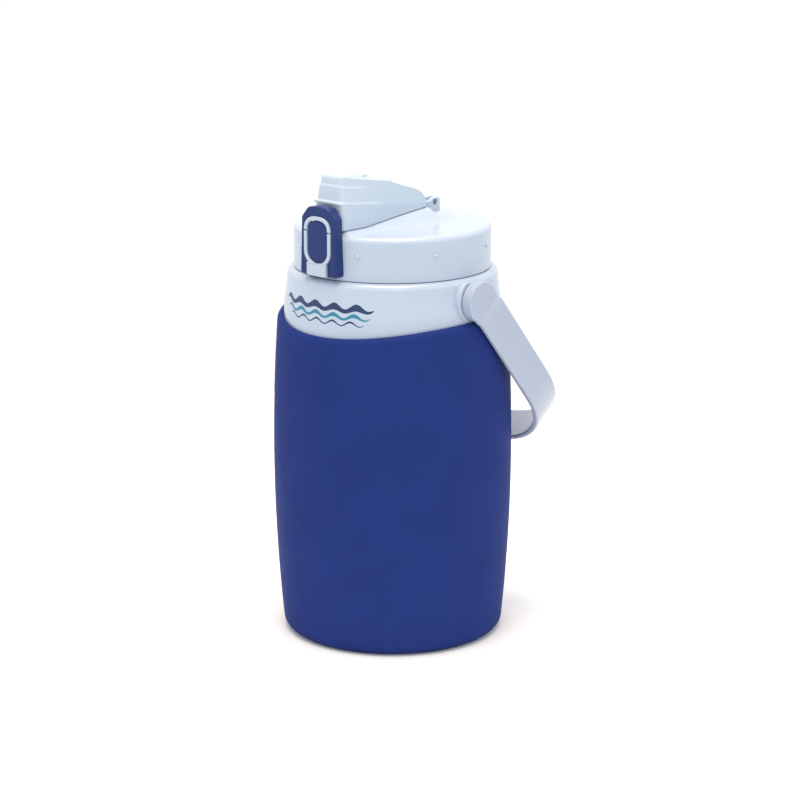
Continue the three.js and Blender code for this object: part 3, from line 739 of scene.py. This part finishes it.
def build_handle():
    line = [Vector(p) for p in strap_path()]
    edge = 1.7
    loops = []
    for i, at in enumerate(line):
        ahead = line[min(i + 1, len(line) - 1)]
        behind = line[max(i - 1, 0)]
        run = (ahead - behind).normalized()
        out = Vector((run.y, -run.x))
        half_width = STRAP_WIDTH / 2
        if at.y < 0:
            half_width = min(half_width, math.sqrt(max(0.3, HUB_RADIUS ** 2 - at.y ** 2)))
        half_thick = STRAP_THICK / 2
        corner = min(edge, half_width * 0.9)
        shape = rounded([(half_thick, -half_width, corner), (half_thick, half_width, corner),
                         (-half_thick, half_width, corner), (-half_thick, -half_width, corner)], steps=5)
        loops.append([(at.x + out.x * a, at.y + out.y * a, b) for a, b in shape])
    strap = loft("handle_strap", loops)
    for side in (-1, 1):
        profile = rounded([(0, HUB_INNER), (HUB_RADIUS, HUB_INNER, 0.8), (HUB_RADIUS, HUB_OUTER - 0.4, 1.5),
                           (10, HUB_OUTER - 0.3), (0, HUB_OUTER - 0.3)], closed=False)
        hub = revolve("hub", profile, 72)
        hub.data.transform(Matrix.Rotation(side * math.pi / 2, 4, "Y"))
        combine(strap, "UNION", hub)
    for start, end in ((HUB_INNER - 1, HUB_INNER + 5.2), (-HUB_INNER - 5.2, 1 - HUB_INNER)):
        combine(strap, "DIFFERENCE", rod("bore", 5.3, start, end, 0, 0, 0.0))
    turn = Matrix.Translation(Vector((0, 0, PIVOT_HEIGHT)) * MM) @ Matrix.Rotation(-REST_ANGLE, 4, "X")
    strap.data.transform(turn)
    # The strap takes the darker copy of the white plastic: painted shade.
    finish_piece(strap, "shell_white", "handle", "handle", material="strap_white_painted_shade")


# ------------------------------------------------------------------ lid

LID_RADIUS = 62.5
LID_BOTTOM = cad_low("lid_shell").z
LID_TOP = 266.5
PIP_HEIGHT = 254.9
HINGE = cad_middle("cover_hinge_pin")
SPOUT_Y = cad_middle("spout_tube").y
VENT_Y = cad_middle("vent_valve").y
PARTING = [(-60, 269), (-53, 269), (-40, 269), (-24, 270.5), (-8, 272.2), (9, 273.8), (19.3, 274.6)]
SEAM = 0.25


def wedge_top(y):
    """Height of the raised ground under the cover, along the jug's middle plane."""
    if y <= 19.3:
        return piecewise(PARTING, y) - SEAM
    low = 270.5
    return low + (piecewise(PARTING, 19.3) - SEAM - low) * (1 - smoothstep(y, 19.3, 21))


def lid_top_height(x, y, z):
    """Lifts the lid's top into the raised ground with soft flanks."""
    radius = math.hypot(x, y)
    if z < LID_TOP - 0.8 or radius > 59.5:
        return x, y, z
    core = 12.9
    flare = 8 + 5 * smoothstep(y, -30, 20)
    side = 1 - smoothstep(abs(x), core, core + flare)
    front = smoothstep(y, -59.5, -55)
    back = 1 - smoothstep(y, 34, 44)
    rise = max(0.0, wedge_top(y) - z)
    return x, y, z + rise * side * front * back


def build_lid_shell():
    rim = 3.6
    inner = LID_RADIUS - 2.5
    profile = [(inner, LID_BOTTOM), (LID_RADIUS - 0.4, LID_BOTTOM), (LID_RADIUS, LID_BOTTOM + 0.4)]
    profile += [(LID_RADIUS, z) for z in np.linspace(LID_BOTTOM + 3, LID_TOP - rim, 8)]
    profile += arc(LID_RADIUS - rim, LID_TOP - rim, rim, rim, 0, 90, 10)[1:]
    profile += [(r, LID_TOP) for r in np.linspace(LID_RADIUS - rim - 1, 1.0, 62)]
    profile += [(0, LID_TOP)]
    underside = [(0, LID_TOP - 2.6), (LID_RADIUS - 4, LID_TOP - 2.6), (inner, LID_TOP - 4)]
    lid = revolve("lid_cap", underside + profile, 256, lid_top_height)
    ears = []
    for side in (-1, 1):
        outline = rounded([(20.1, 268.5), (33.2, 268.5), (33.0, 274), (32.8, 279.4, 2.2),
                           (26.6, 279.4, 1.6), (24.4, 278.0, 1.2), (20.1, 277.6, 0.8)], steps=5)
        start, end = (8.0, 11.0) if side > 0 else (-11.0, -8.0)
        ears.append(plate("ear", outline, start, end, 0.7, facing_side))
    combine(lid, "UNION", *ears)
    pips = []
    for i in range(8):
        turn = 2 * math.pi * (i + 0.5) / 8
        pips.append(pip(Vector((LID_RADIUS * math.cos(turn), LID_RADIUS * math.sin(turn), PIP_HEIGHT))))
    combine(lid, "UNION", *pips)
    combine(lid, "DIFFERENCE",
            round_cutter(7.4 + 0.6, 255, 280, SPOUT_Y),
            round_cutter(3.3, 255, 280, VENT_Y),
            rod("bore", 1.85, -20, 20, HINGE.y, HINGE.z, 0.0, 32))
    finish_piece(lid, "shell_white", "lid", "lid_shell", sharp=40)


def round_cutter(radius, low, high, y, sides=64):
    cutter = revolve("cutter", [(0, low), (radius, low), (radius, high), (0, high)], sides)
    move(cutter, (0, y, 0))
    return cutter


def pip(at, radius=1.5):
    profile = [(0, -radius)] + arc(0, 0, radius, radius, -80, 80, 10) + [(0, radius)]
    ball = revolve("pip", profile, 20)
    move(ball, at)
    return ball


def build_inner_cup():
    profile = rounded([
        (0, 244), (47.6, 244, 1.5), (47.6, 257, 0.5), (54, 257, 0.5), (54, 240.5, 0.6), (56.8, 240.5, 0.6),
        (56.8, 257, 0.5), (59.3, 257, 0.4), (59.3, 259, 0.4), (45.6, 259, 0.4), (45.6, 246, 1), (0, 246),
    ], closed=False)
    cup = revolve("lid_cup", profile, 128)
    combine(cup, "DIFFERENCE", round_cutter(7.7, 235, 255, SPOUT_Y), round_cutter(3.3, 235, 255, VENT_Y))
    finish_piece(cup, "liner_white", "lid", "lid_inner_cup")
    for start in range(2):
        ridge = thread_ridge(f"lid_thread_{start + 1}", 54.2, 51.7, 2.0, 244.0, 0.55, start * math.pi)
        finish_piece(ridge, "liner_white", "lid")


def build_nozzle():
    tube, bore, top = 7.4, 5.2, cad_high("spout_tube").z
    seat, flange = 270.7, 9.8
    profile = rounded([
        (bore, 242, 0.4), (tube, 242, 0.4), (tube, seat), (flange, seat, 0.3), (flange, seat + 1.4, 0.6),
        (7.6, seat + 1.5, 0.7), (6.7, seat + 5, 4), (6.7, top - 4.5, 3), (7.4, top - 2.2, 0.9),
        (7.1, top - 0.3, 0.9), (bore + 0.8, top, 0.6), (bore, top - 1.2, 0.6),
    ])
    nozzle = revolve("drinking_nozzle", profile, 72)
    move(nozzle, (0, SPOUT_Y, 0))
    finish_piece(nozzle, "liner_white", "lid", "spout_tube")


def build_vent():
    top = cad_high("vent_valve").z
    profile = rounded([(1.2, 242), (3, 242, 0.3), (3, 271.9), (4.4, 271.9, 0.4), (4.1, top, 0.9),
                       (1.2, top, 0.4)])
    valve = revolve("air_vent", profile, 40)
    move(valve, (0, VENT_Y, 0))
    finish_piece(valve, "silicone", "lid", "vent_valve")


# ------------------------------------------------------------------ spout cover

COVER_FRONT, COVER_REAR = -58.9, 19.3
COVER_HALF = 12.4
COVER_WALL = 1.9
COVER_EDGE = 1.6
CORNER_FRONT, CORNER_REAR = 3.6, 1.6
# Side profiles as (y, height): the plain top of the cover, and the domed tongue along its middle.
NECK_LINE = [(-62, 296.5), (-14, 294.9), (-3, 291.6), (13, 286.3), (16.2, 284.2), (18.6, 280.8),
             (19.5, 279.6)]
CROWN_LINE = [(-60.5, 302.5), (-57, 302.6), (-54.5, 302.75), (-50, 302.97), (-44, 302.9),
              (-37, 302.1), (-32, 301.1), (-20, 298.5), (-12, 296.5), (-6, 295.3)]
TONGUE_HALF, TONGUE_REAR = 9.6, -6.0
CROWN_SLOT = {"y": -36.0, "half_length": 3.8, "half_width": 1.1, "corner": 1.0, "fall": 0.2,
              "floor": 300.0}
KNUCKLE_HALF, KNUCKLE_RADIUS = 7.6, 3.6
COVER_BORE, COVER_SPRING_HALF = 1.85, 3.3
CATCH_HALF = 4.5


def cover_plan():
    """Plan outline from the rear middle round the right side, as (point, inward normal)."""
    half, front, rear = COVER_HALF, COVER_FRONT, COVER_REAR
    corner_front, corner_rear = CORNER_FRONT, CORNER_REAR
    right = [Vector((x, rear)) for x in np.linspace(0, half - corner_rear, 8)][:-1]
    right += [Vector(p) for p in arc(half - corner_rear, rear - corner_rear, corner_rear, corner_rear,
                                     90, 0, 6)]
    right += [Vector((half, y)) for y in np.linspace(rear - corner_rear, front + corner_front, 90)][1:-1]
    right += [Vector(p) for p in arc(half - corner_front, front + corner_front, corner_front,
                                     corner_front, 0, -90, 12)]
    right += [Vector((x, front)) for x in np.linspace(half - corner_front, 0, 9)][1:]
    left = [Vector((-p.x, p.y)) for p in right[::-1][1:-1]]
    loop = right + left
    result = []
    for i, at in enumerate(loop):
        run = (loop[(i + 1) % len(loop)] - loop[i - 1]).normalized()
        result.append((at, Vector((run.y, -run.x))))
    middle = Vector((0, (front + rear) / 2))
    return [(at, n if n.dot(middle - at) > 0 else -n) for at, n in result]


def tier_height(start, y):
    """The side steps run parallel to the crown's edge, falling towards the hinge."""
    return start - 0.125 * (y + 57)


def inset_point(at, normal, depth):
    """A plan point moved in by a depth, with the corners keeping a sound, smaller radius."""
    front = at.y < (COVER_FRONT + COVER_REAR) / 2
    corner = CORNER_FRONT if front else CORNER_REAR
    end = COVER_FRONT if front else COVER_REAR
    inward = 1 if front else -1
    radius = max(0.5 * corner, corner - 0.45 * max(0.0, depth))
    shift = depth + radius - corner
    side = math.copysign(1, at.x)
    straight = COVER_HALF - corner
    from_end = (at.y - end) * inward
    if abs(at.x) > straight + 1e-6 and from_end < corner - 1e-6:
        centre = Vector((side * (straight - shift), end + inward * (corner + shift)))
        return centre - normal * radius
    if abs(at.x) <= straight + 1e-6 and from_end < 1e-6:
        return Vector((at.x * (straight - shift) / straight, end + inward * depth))
    ease = max(0.0, 1 - (from_end - corner) / 10)
    return Vector((at.x - side * depth, at.y + inward * shift * ease))


def cover_depth(at, normal, z):
    """How far the wall stands in from the plan outline at a height: draft, tiers and front lip."""
    facing = max(0.0, normal.y)
    low, high = tier_height(286.2, at.y), tier_height(296.0, at.y)
    lower = smoothstep(z, low, low + 0.5) * (0.55 * (1 - smoothstep(at.y, -34, -16)) + 0.05)
    upper = smoothstep(z, high - 0.2, high + 0.4) * 0.5 * (1 - smoothstep(at.y, -42, -28))
    draft = 0.012 * (z - 268) + 0.115 * max(0.0, z - low)
    lip = -1.5 * facing ** 4 * smoothstep(z, 284.7, 285.4) * (1 - smoothstep(z, 286.4, 287.2))
    return lower + upper + draft + lip


def tower_edge(y):
    return min(302.5, 302.15 - 0.16 * (y + 55))


def top_edge(y):
    """Height where the cover's wall meets its rounded top edge."""
    neck = piecewise(NECK_LINE, y)
    return neck + max(0.0, tower_edge(y) - neck) * (1 - smoothstep(y, -15.5, -10))


def crown_height(x, y):
    """The domed tongue on top of the cover, and the plain neck behind its rounded end."""
    neck = piecewise(NECK_LINE, y) + 0.25
    centre = TONGUE_REAR - TONGUE_HALF
    reach = min(1.0, abs(x) / TONGUE_HALF)
    edge = tower_edge(y)
    tongue = edge + (piecewise(CROWN_LINE, y) - edge) * (1 - reach ** 2)
    if y < centre:
        return tongue
    inside = TONGUE_HALF - math.hypot(x, y - centre)
    return neck + max(0.0, tongue - neck) * smoothstep(inside, -0.3, 0.5)


def edge_drop(normal):
    """Height of the rounded top edge, which is larger along the front."""
    return 0.9 + 1.7 * max(0.0, normal.y) ** 2


def edge_run(normal):
    """Width of the rounded top edge, which is larger along the front."""
    return COVER_EDGE + 0.9 * max(0.0, normal.y) ** 2


def cover_spine(p, ends=(8, 6)):
    return Vector((0, min(max(p.y, COVER_FRONT + ends[0]), COVER_REAR - ends[1])))


def build_cover_body():
    plan = cover_plan()

    def foot(at):
        return piecewise(PARTING, at.y)

    def wall(at, n, z, extra=0.0):
        return inset_point(at, n, cover_depth(at, n, z) + extra)

    loops = []
    for extra, lift in ((COVER_WALL, 0.02), (0.35, 0.0)):
        loops.append([(*wall(at, n, foot(at), extra), foot(at) + lift) for at, n in plan])
    for level in np.linspace(268, 302, 58):
        loop = []
        for at, n in plan:
            z = min(max(level, foot(at) + 0.35), top_edge(at.y) - edge_drop(n))
            loop.append((*wall(at, n, z), z))
        loops.append(loop)
    rim = [(at, n, top_edge(at.y) - edge_drop(n)) for at, n in plan]
    for k in range(1, 7):
        turn = math.pi / 2 * k / 6
        loops.append([(*wall(at, n, z, edge_run(n) * (1 - math.cos(turn))),
                       z + edge_drop(n) * math.sin(turn)) for at, n, z in rim])
    last = loops[-1]
    for k in range(1, 25):
        t = 1 - (1 - k / 24) ** 1.3
        loop = []
        for x0, y0, z0 in last:
            start = Vector((x0, y0))
            q = start.lerp(cover_spine(start), t)
            blend = smoothstep(t, 0.0, 0.12)
            loop.append((q.x, q.y, z0 * (1 - blend) + crown_height(q.x, q.y) * blend if t < 0.12
                         else crown_height(q.x, q.y)))
        loops.append(loop)
    inner = []
    for level in np.linspace(269, 299, 16):
        loop = []
        for at, n in plan:
            z = min(max(level, foot(at) + 0.3), top_edge(at.y) - 3.4)
            loop.append((*wall(at, n, z, COVER_WALL), z))
        inner.append(loop)
    ceiling = inner[-1]
    for k in range(1, 8):
        t = k / 7
        loop = []
        for x0, y0, z0 in ceiling:
            start = Vector((x0, y0))
            q = start.lerp(cover_spine(start, (11, 8)), t)
            roof = crown_height(q.x, q.y) - 2.5
            loop.append((q.x, q.y, z0 + (roof - z0) * smoothstep(t, 0, 0.5)))
        inner.append(loop)
    size = len(plan)
    points = [p for loop in loops + inner for p in loop]
    start = len(loops) * size
    faces = skin_faces(0, len(loops), size) + skin_faces(start, len(inner), size)
    for i in range(size):
        j = (i + 1) % size
        faces.append((i, j, start + j, start + i))
    return raw("cover_shell", points, faces)


def skin_faces(start, rows, size):
    faces = []
    for k in range(rows - 1):
        low, high = start + k * size, start + (k + 1) * size
        for i in range(size):
            j = (i + 1) % size
            faces.append((low + i, low + j, high + j, high + i))
    return faces


def build_cover():
    cover = build_cover_body()
    y, z = HINGE.y, HINGE.z
    half, knuckle = KNUCKLE_HALF, KNUCKLE_RADIUS
    arm_shape = rounded([(16, z - 1.1), (y, z - 1.1), (y, z + knuckle), (19, z + knuckle - 0.1),
                         (16, z + knuckle)])
    arm = plate("arm", arm_shape, -half, half, 0.5, facing_side)
    barrel = rod("barrel", knuckle, -half, half, y, z, 0.6)
    combine(arm, "UNION", barrel)
    lug = plate("lug", rounded([(-61.5, 269.4, 0.4), (-57.4, 269.4), (-57.4, 271.4), (-61.5, 271.4, 0.4)]),
                -CATCH_HALF, CATCH_HALF, 0.3, facing_side)
    seat_low = cad_high("spout_seal").z + 0.3
    seat = revolve("seat", [(0, seat_low), (7.2, seat_low), (7.2, seat_low + 4), (0, seat_low + 4)], 48)
    move(seat, (0, SPOUT_Y, 0))
    length, width = CROWN_SLOT["half_length"], CROWN_SLOT["half_width"]
    corners = box_outline(-length, length, -width, width)
    slot_plan = rounded([(a, b, CROWN_SLOT["corner"]) for a, b in corners], steps=6)
    slot = loft("slot", [[(b, CROWN_SLOT["y"] + a, depth - CROWN_SLOT["fall"] * a) for a, b in slot_plan]
                         for depth in (CROWN_SLOT["floor"], 306)])
    combine(cover, "UNION", arm, lug, seat)
    combine(cover, "DIFFERENCE", slot, bore_along(HINGE, COVER_BORE, 20),
            plate("gap", box_outline(y - 6, y + 10, z - 10, z + 10), -COVER_SPRING_HALF,
                  COVER_SPRING_HALF, 0.0, facing_side, 1))
    # The cover takes the lighter copy of the white plastic: painted light.
    finish_piece(cover, "shell_white", "spout_cover", "spout_cover", material="cover_white_painted_light", sharp=50)


def build_seal():
    low, high = cad_low("spout_seal").z, cad_high("spout_seal").z
    profile = rounded([(0, low), (6.2, low, 0.8), (7.6, low + 0.9, 0.5), (7.8, high, 0.4), (0, high)],
                      closed=False)
    seal = revolve("nozzle_seal", profile, 64)
    move(seal, (0, SPOUT_Y, 0))
    finish_piece(seal, "silicone", "spout_cover", "spout_seal")


def helix(radius, pitch, turns, leg=0.0):
    """Centre line of a coil about +X, with straight legs leaving along -Z."""
    points = []
    steps = int(28 * turns)
    for i in range(steps + 1):
        t = i / steps
        turn = 2 * math.pi * turns * t
        points.append(Vector(((t - 0.5) * turns * pitch, radius * math.cos(turn), radius * math.sin(turn))))
    if leg:
        points.insert(0, points[0] + Vector((0, 0, -leg)))
        points.append(points[-1] + Vector((0, 0, leg)))
    return points


def wire(name, line, radius, sides=12):
    """A round wire along a line of points."""
    loops = []
    side = Vector((1, 0, 0))
    for i, at in enumerate(line):
        run = (line[min(i + 1, len(line) - 1)] - line[max(i - 1, 0)]).normalized()
        side = (side - run * side.dot(run)).normalized()
        up = run.cross(side)
        ring = [2 * math.pi * k / sides for k in range(sides)]
        loops.append([tuple(at + side * radius * math.cos(t) + up * radius * math.sin(t)) for t in ring])
    return loft(name, loops)


def build_springs():
    coil = wire("cover_coil", helix(2.7, 1.25, 4), 0.42)
    move(coil, HINGE)
    finish_piece(coil, "steel", "lid", "cover_spring")
    push = wire("button_coil", helix(1.9, 0.85, 3.2), 0.28)
    middle = cad_middle("button_spring")
    push.data.transform(Matrix.Translation(middle * MM) @ Matrix.Rotation(math.pi / 2, 4, "Z"))
    finish_piece(push, "steel", "lid", "button_spring")


def build_pins():
    for node in ("cover_hinge_pin", "button_pin", "lock_ring_pin"):
        low, high, middle = cad_low(node), cad_high(node), cad_middle(node)
        radius = (high.z - low.z) / 2
        pin = rod(node + "_turned", radius, low.x, high.x, middle.y, middle.z, 0.25, 40)
        finish_piece(pin, "steel", "lid", node)


# ------------------------------------------------------------------ latch

BEZEL_FRONT, BEZEL_BACK, BEZEL_INNER_BACK = -68.2, -60.2, -62.3
BEZEL_HALF, SHOULDER_HALF, WINDOW_HALF, SLOT_HALF = 15.2, 13.9, 11.5, 8.4
BEZEL_BOTTOM = cad_low("latch_bezel").z
BEZEL_TOP = cad_high("latch_bezel").z
ARCH_AT, BOWL_AT = 268.7, 256.5
RING_HALF, RING_LEG = 11.1, 2.4
RING_FRONT, RING_BACK = -69.2, -66.9
TAB_HALF, TAB_FRONT, TAB_BOTTOM = 8.0, -70.2, 241.3
RING_PIN = cad_middle("lock_ring_pin")
BUTTON_PIN = cad_middle("button_pin")
RING_BORE, BUTTON_BORE = 1.05, 1.4
CUT_FRONT, CUT_BACK = -75, -50  # the latch's cutters run past both of its faces
LID_SIDE = 62.85  # radius of the lid's side that the latch hugs


def latch_loop(half, arch_rise, bowl_drop, steps=40):
    """The latch's oval, anticlockwise from the right: a squarish arch above and a bowl below."""
    return (square_arc(ARCH_AT, half, arch_rise, 0, 180, steps)
            + arc(0, BOWL_AT, half, bowl_drop, 180, 360, steps))


def build_bezel():
    half, top_half = BEZEL_HALF, SHOULDER_HALF
    outer = rounded([
        (-half, BEZEL_BOTTOM, 2.6), (half, BEZEL_BOTTOM, 2.6), (top_half, 277.2, 3.4),
        (8.6, 283.6, 5.0), (0, BEZEL_TOP, 8), (-8.6, 283.6, 5.0), (-top_half, 277.2, 3.4),
    ], steps=8)
    frame_plate = plate("latch_frame", outer, BEZEL_FRONT, BEZEL_BACK, 1.3, facing_front, 6)
    window = plate("window", latch_loop(WINDOW_HALF, 10, 10.2), CUT_FRONT, CUT_BACK, 0.0, facing_front, 1)
    tab_slot = plate("tab_slot", box_outline(-SLOT_HALF, SLOT_HALF, 235, 252), CUT_FRONT, CUT_BACK, 0.0,
                     facing_front, 1)
    hug = revolve("hug", box_outline(0, LID_SIDE, 220, 266.8), 200)
    behind = plate("behind", [(-12.5, 262), (12.5, 262), (12.5, 276), (5.2, 276), (5.2, 300), (-5.2, 300),
                              (-5.2, 276), (-12.5, 276)], BEZEL_INNER_BACK, -40, 0.0, facing_front, 1)
    combine(frame_plate, "DIFFERENCE", window, tab_slot, hug, behind,
            bore_along(RING_PIN, RING_BORE, 13.9), bore_along(BUTTON_PIN, BUTTON_BORE, 13.9))
    finish_piece(frame_plate, "latch_blue", "lid", "latch_bezel")


def build_lock_ring():
    line = latch_loop(RING_HALF - RING_LEG / 2, 8.4, 8.6)
    section = rounded([(-RING_LEG / 2, RING_FRONT, 0.7), (RING_LEG / 2, RING_FRONT, 0.7),
                       (RING_LEG / 2, RING_BACK, 0.4), (-RING_LEG / 2, RING_BACK, 0.4)], steps=4)
    loops = []
    count = len(line)
    for i in range(count):
        run = (Vector(line[(i + 1) % count]) - Vector(line[i - 1])).normalized()
        out = Vector((run.y, -run.x))
        at = Vector(line[i])
        loops.append([(at.x + out.x * a, b, at.y + out.y * a) for a, b in section])
    loop = loft("lock_loop", loops, ring=True)
    tab_outline = rounded([(-TAB_HALF, TAB_BOTTOM, 1.4), (TAB_HALF, TAB_BOTTOM, 1.4), (TAB_HALF, 249.6, 0.8),
                           (-TAB_HALF, 249.6, 0.8)], steps=5)
    tab = plate("tab", tab_outline, TAB_FRONT, -65.4, 0.8, facing_front)
    clear = anticlockwise(latch_loop(RING_HALF - RING_LEG - 0.1, 7.0, 7.35, 32))
    combine(tab, "DIFFERENCE", plate("clear", clear, CUT_FRONT, -60, 0.0, facing_front, 1))
    combine(loop, "UNION", tab)
    grooves = [plate("groove", box_outline(side * 9.9 - 2.4, side * 9.9 + 2.4, 268.7, 269.5),
                     RING_FRONT - 1, RING_FRONT + 1.6, 0.0, facing_front, 1) for side in (-1, 1)]
    combine(loop, "DIFFERENCE", *grooves)
    combine(loop, "DIFFERENCE", bore_along(RING_PIN, RING_BORE, 20))
    finish_piece(loop, "shell_white", "lock_ring", "lock_ring")


def build_button():
    half, front, back = 8.45, -68.4, -66.0
    outline = anticlockwise(latch_loop(half, 6.9, 7.1, 28))
    spine_top, spine_low = ARCH_AT - 2, BOWL_AT + 2
    loops = [[(x, back, z) for x, z in outline]]
    edge = 0.9
    for k in range(5):
        turn = math.pi / 2 * k / 4
        loops.append([(x, front + edge * (1 - math.sin(turn)), z)
                      for x, z in inset(outline, edge * (1 - math.cos(turn)))])
    rim_loop = inset(outline, edge)
    for k in range(1, 9):
        t = k / 8
        loop = []
        for x, z in rim_loop:
            spine = Vector((0, min(max(z, spine_low), spine_top)))
            p = Vector((x, z)).lerp(spine, t)
            dome = 0.2 * (1 - (1 - t) ** 2)
            loop.append((p.x, front - dome, p.y))
        loops.append(loop)
    points = [p for loop in loops for p in loop]
    size = len(outline)
    faces = skin_faces(0, len(loops), size)
    faces.append(tuple(range(size)))
    button = raw("button_pad", points, faces)
    y, z = BUTTON_PIN.y, BUTTON_PIN.z
    lug = plate("lug", rounded([(back - 0.4, z - 2.6), (y + 2.2, z - 2.6, 1.2), (y + 2.2, z + 2.6, 1.2),
                                (back - 0.4, z + 2.6)]), -6, 6, 0.3, facing_side)
    hook = plate("hook", rounded([(back - 0.4, 272), (-62.9, 272, 0.3), (-62.9, 273.2, 0.6),
                                  (back - 0.4, 274.4)]), -CATCH_HALF, CATCH_HALF, 0.3, facing_side)
    combine(button, "UNION", lug, hook)
    combine(button, "DIFFERENCE", bore_along(BUTTON_PIN, BUTTON_BORE, 10))
    finish_piece(button, "latch_blue", "release_button", "release_button")


# ------------------------------------------------------------------ CAD nodes that stay


def dress_cad_nodes():
    """Procedural finishes for the inner CAD pieces that keep their own shape."""
    kept = {
        "foam_insulation": "foam",
        "lid_foam": "foam",
        "handle_stud_left": "steel",
        "handle_stud_right": "steel",
        "spout_o_ring": "rubber_dark",
    }
    for node, material in kept.items():
        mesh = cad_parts[node].data
        mesh.materials.clear()
        mesh.materials.append(MATERIALS[material])


add_camera()
add_studio()
dress_cad_nodes()
build_outer_shell()
build_base_plug()
build_collar()
build_liner()
build_soft_ring("neck_ring", "neck_seal_ring", "jug_body", "rubber_dark")
build_mark()
build_handle()
build_soft_ring("lid_seal", "lid_gasket", "lid_gasket", "silicone")
build_lid_shell()
build_inner_cup()
build_nozzle()
build_vent()
build_cover()
build_seal()
build_springs()
build_pins()
build_bezel()
build_lock_ring()
build_button()
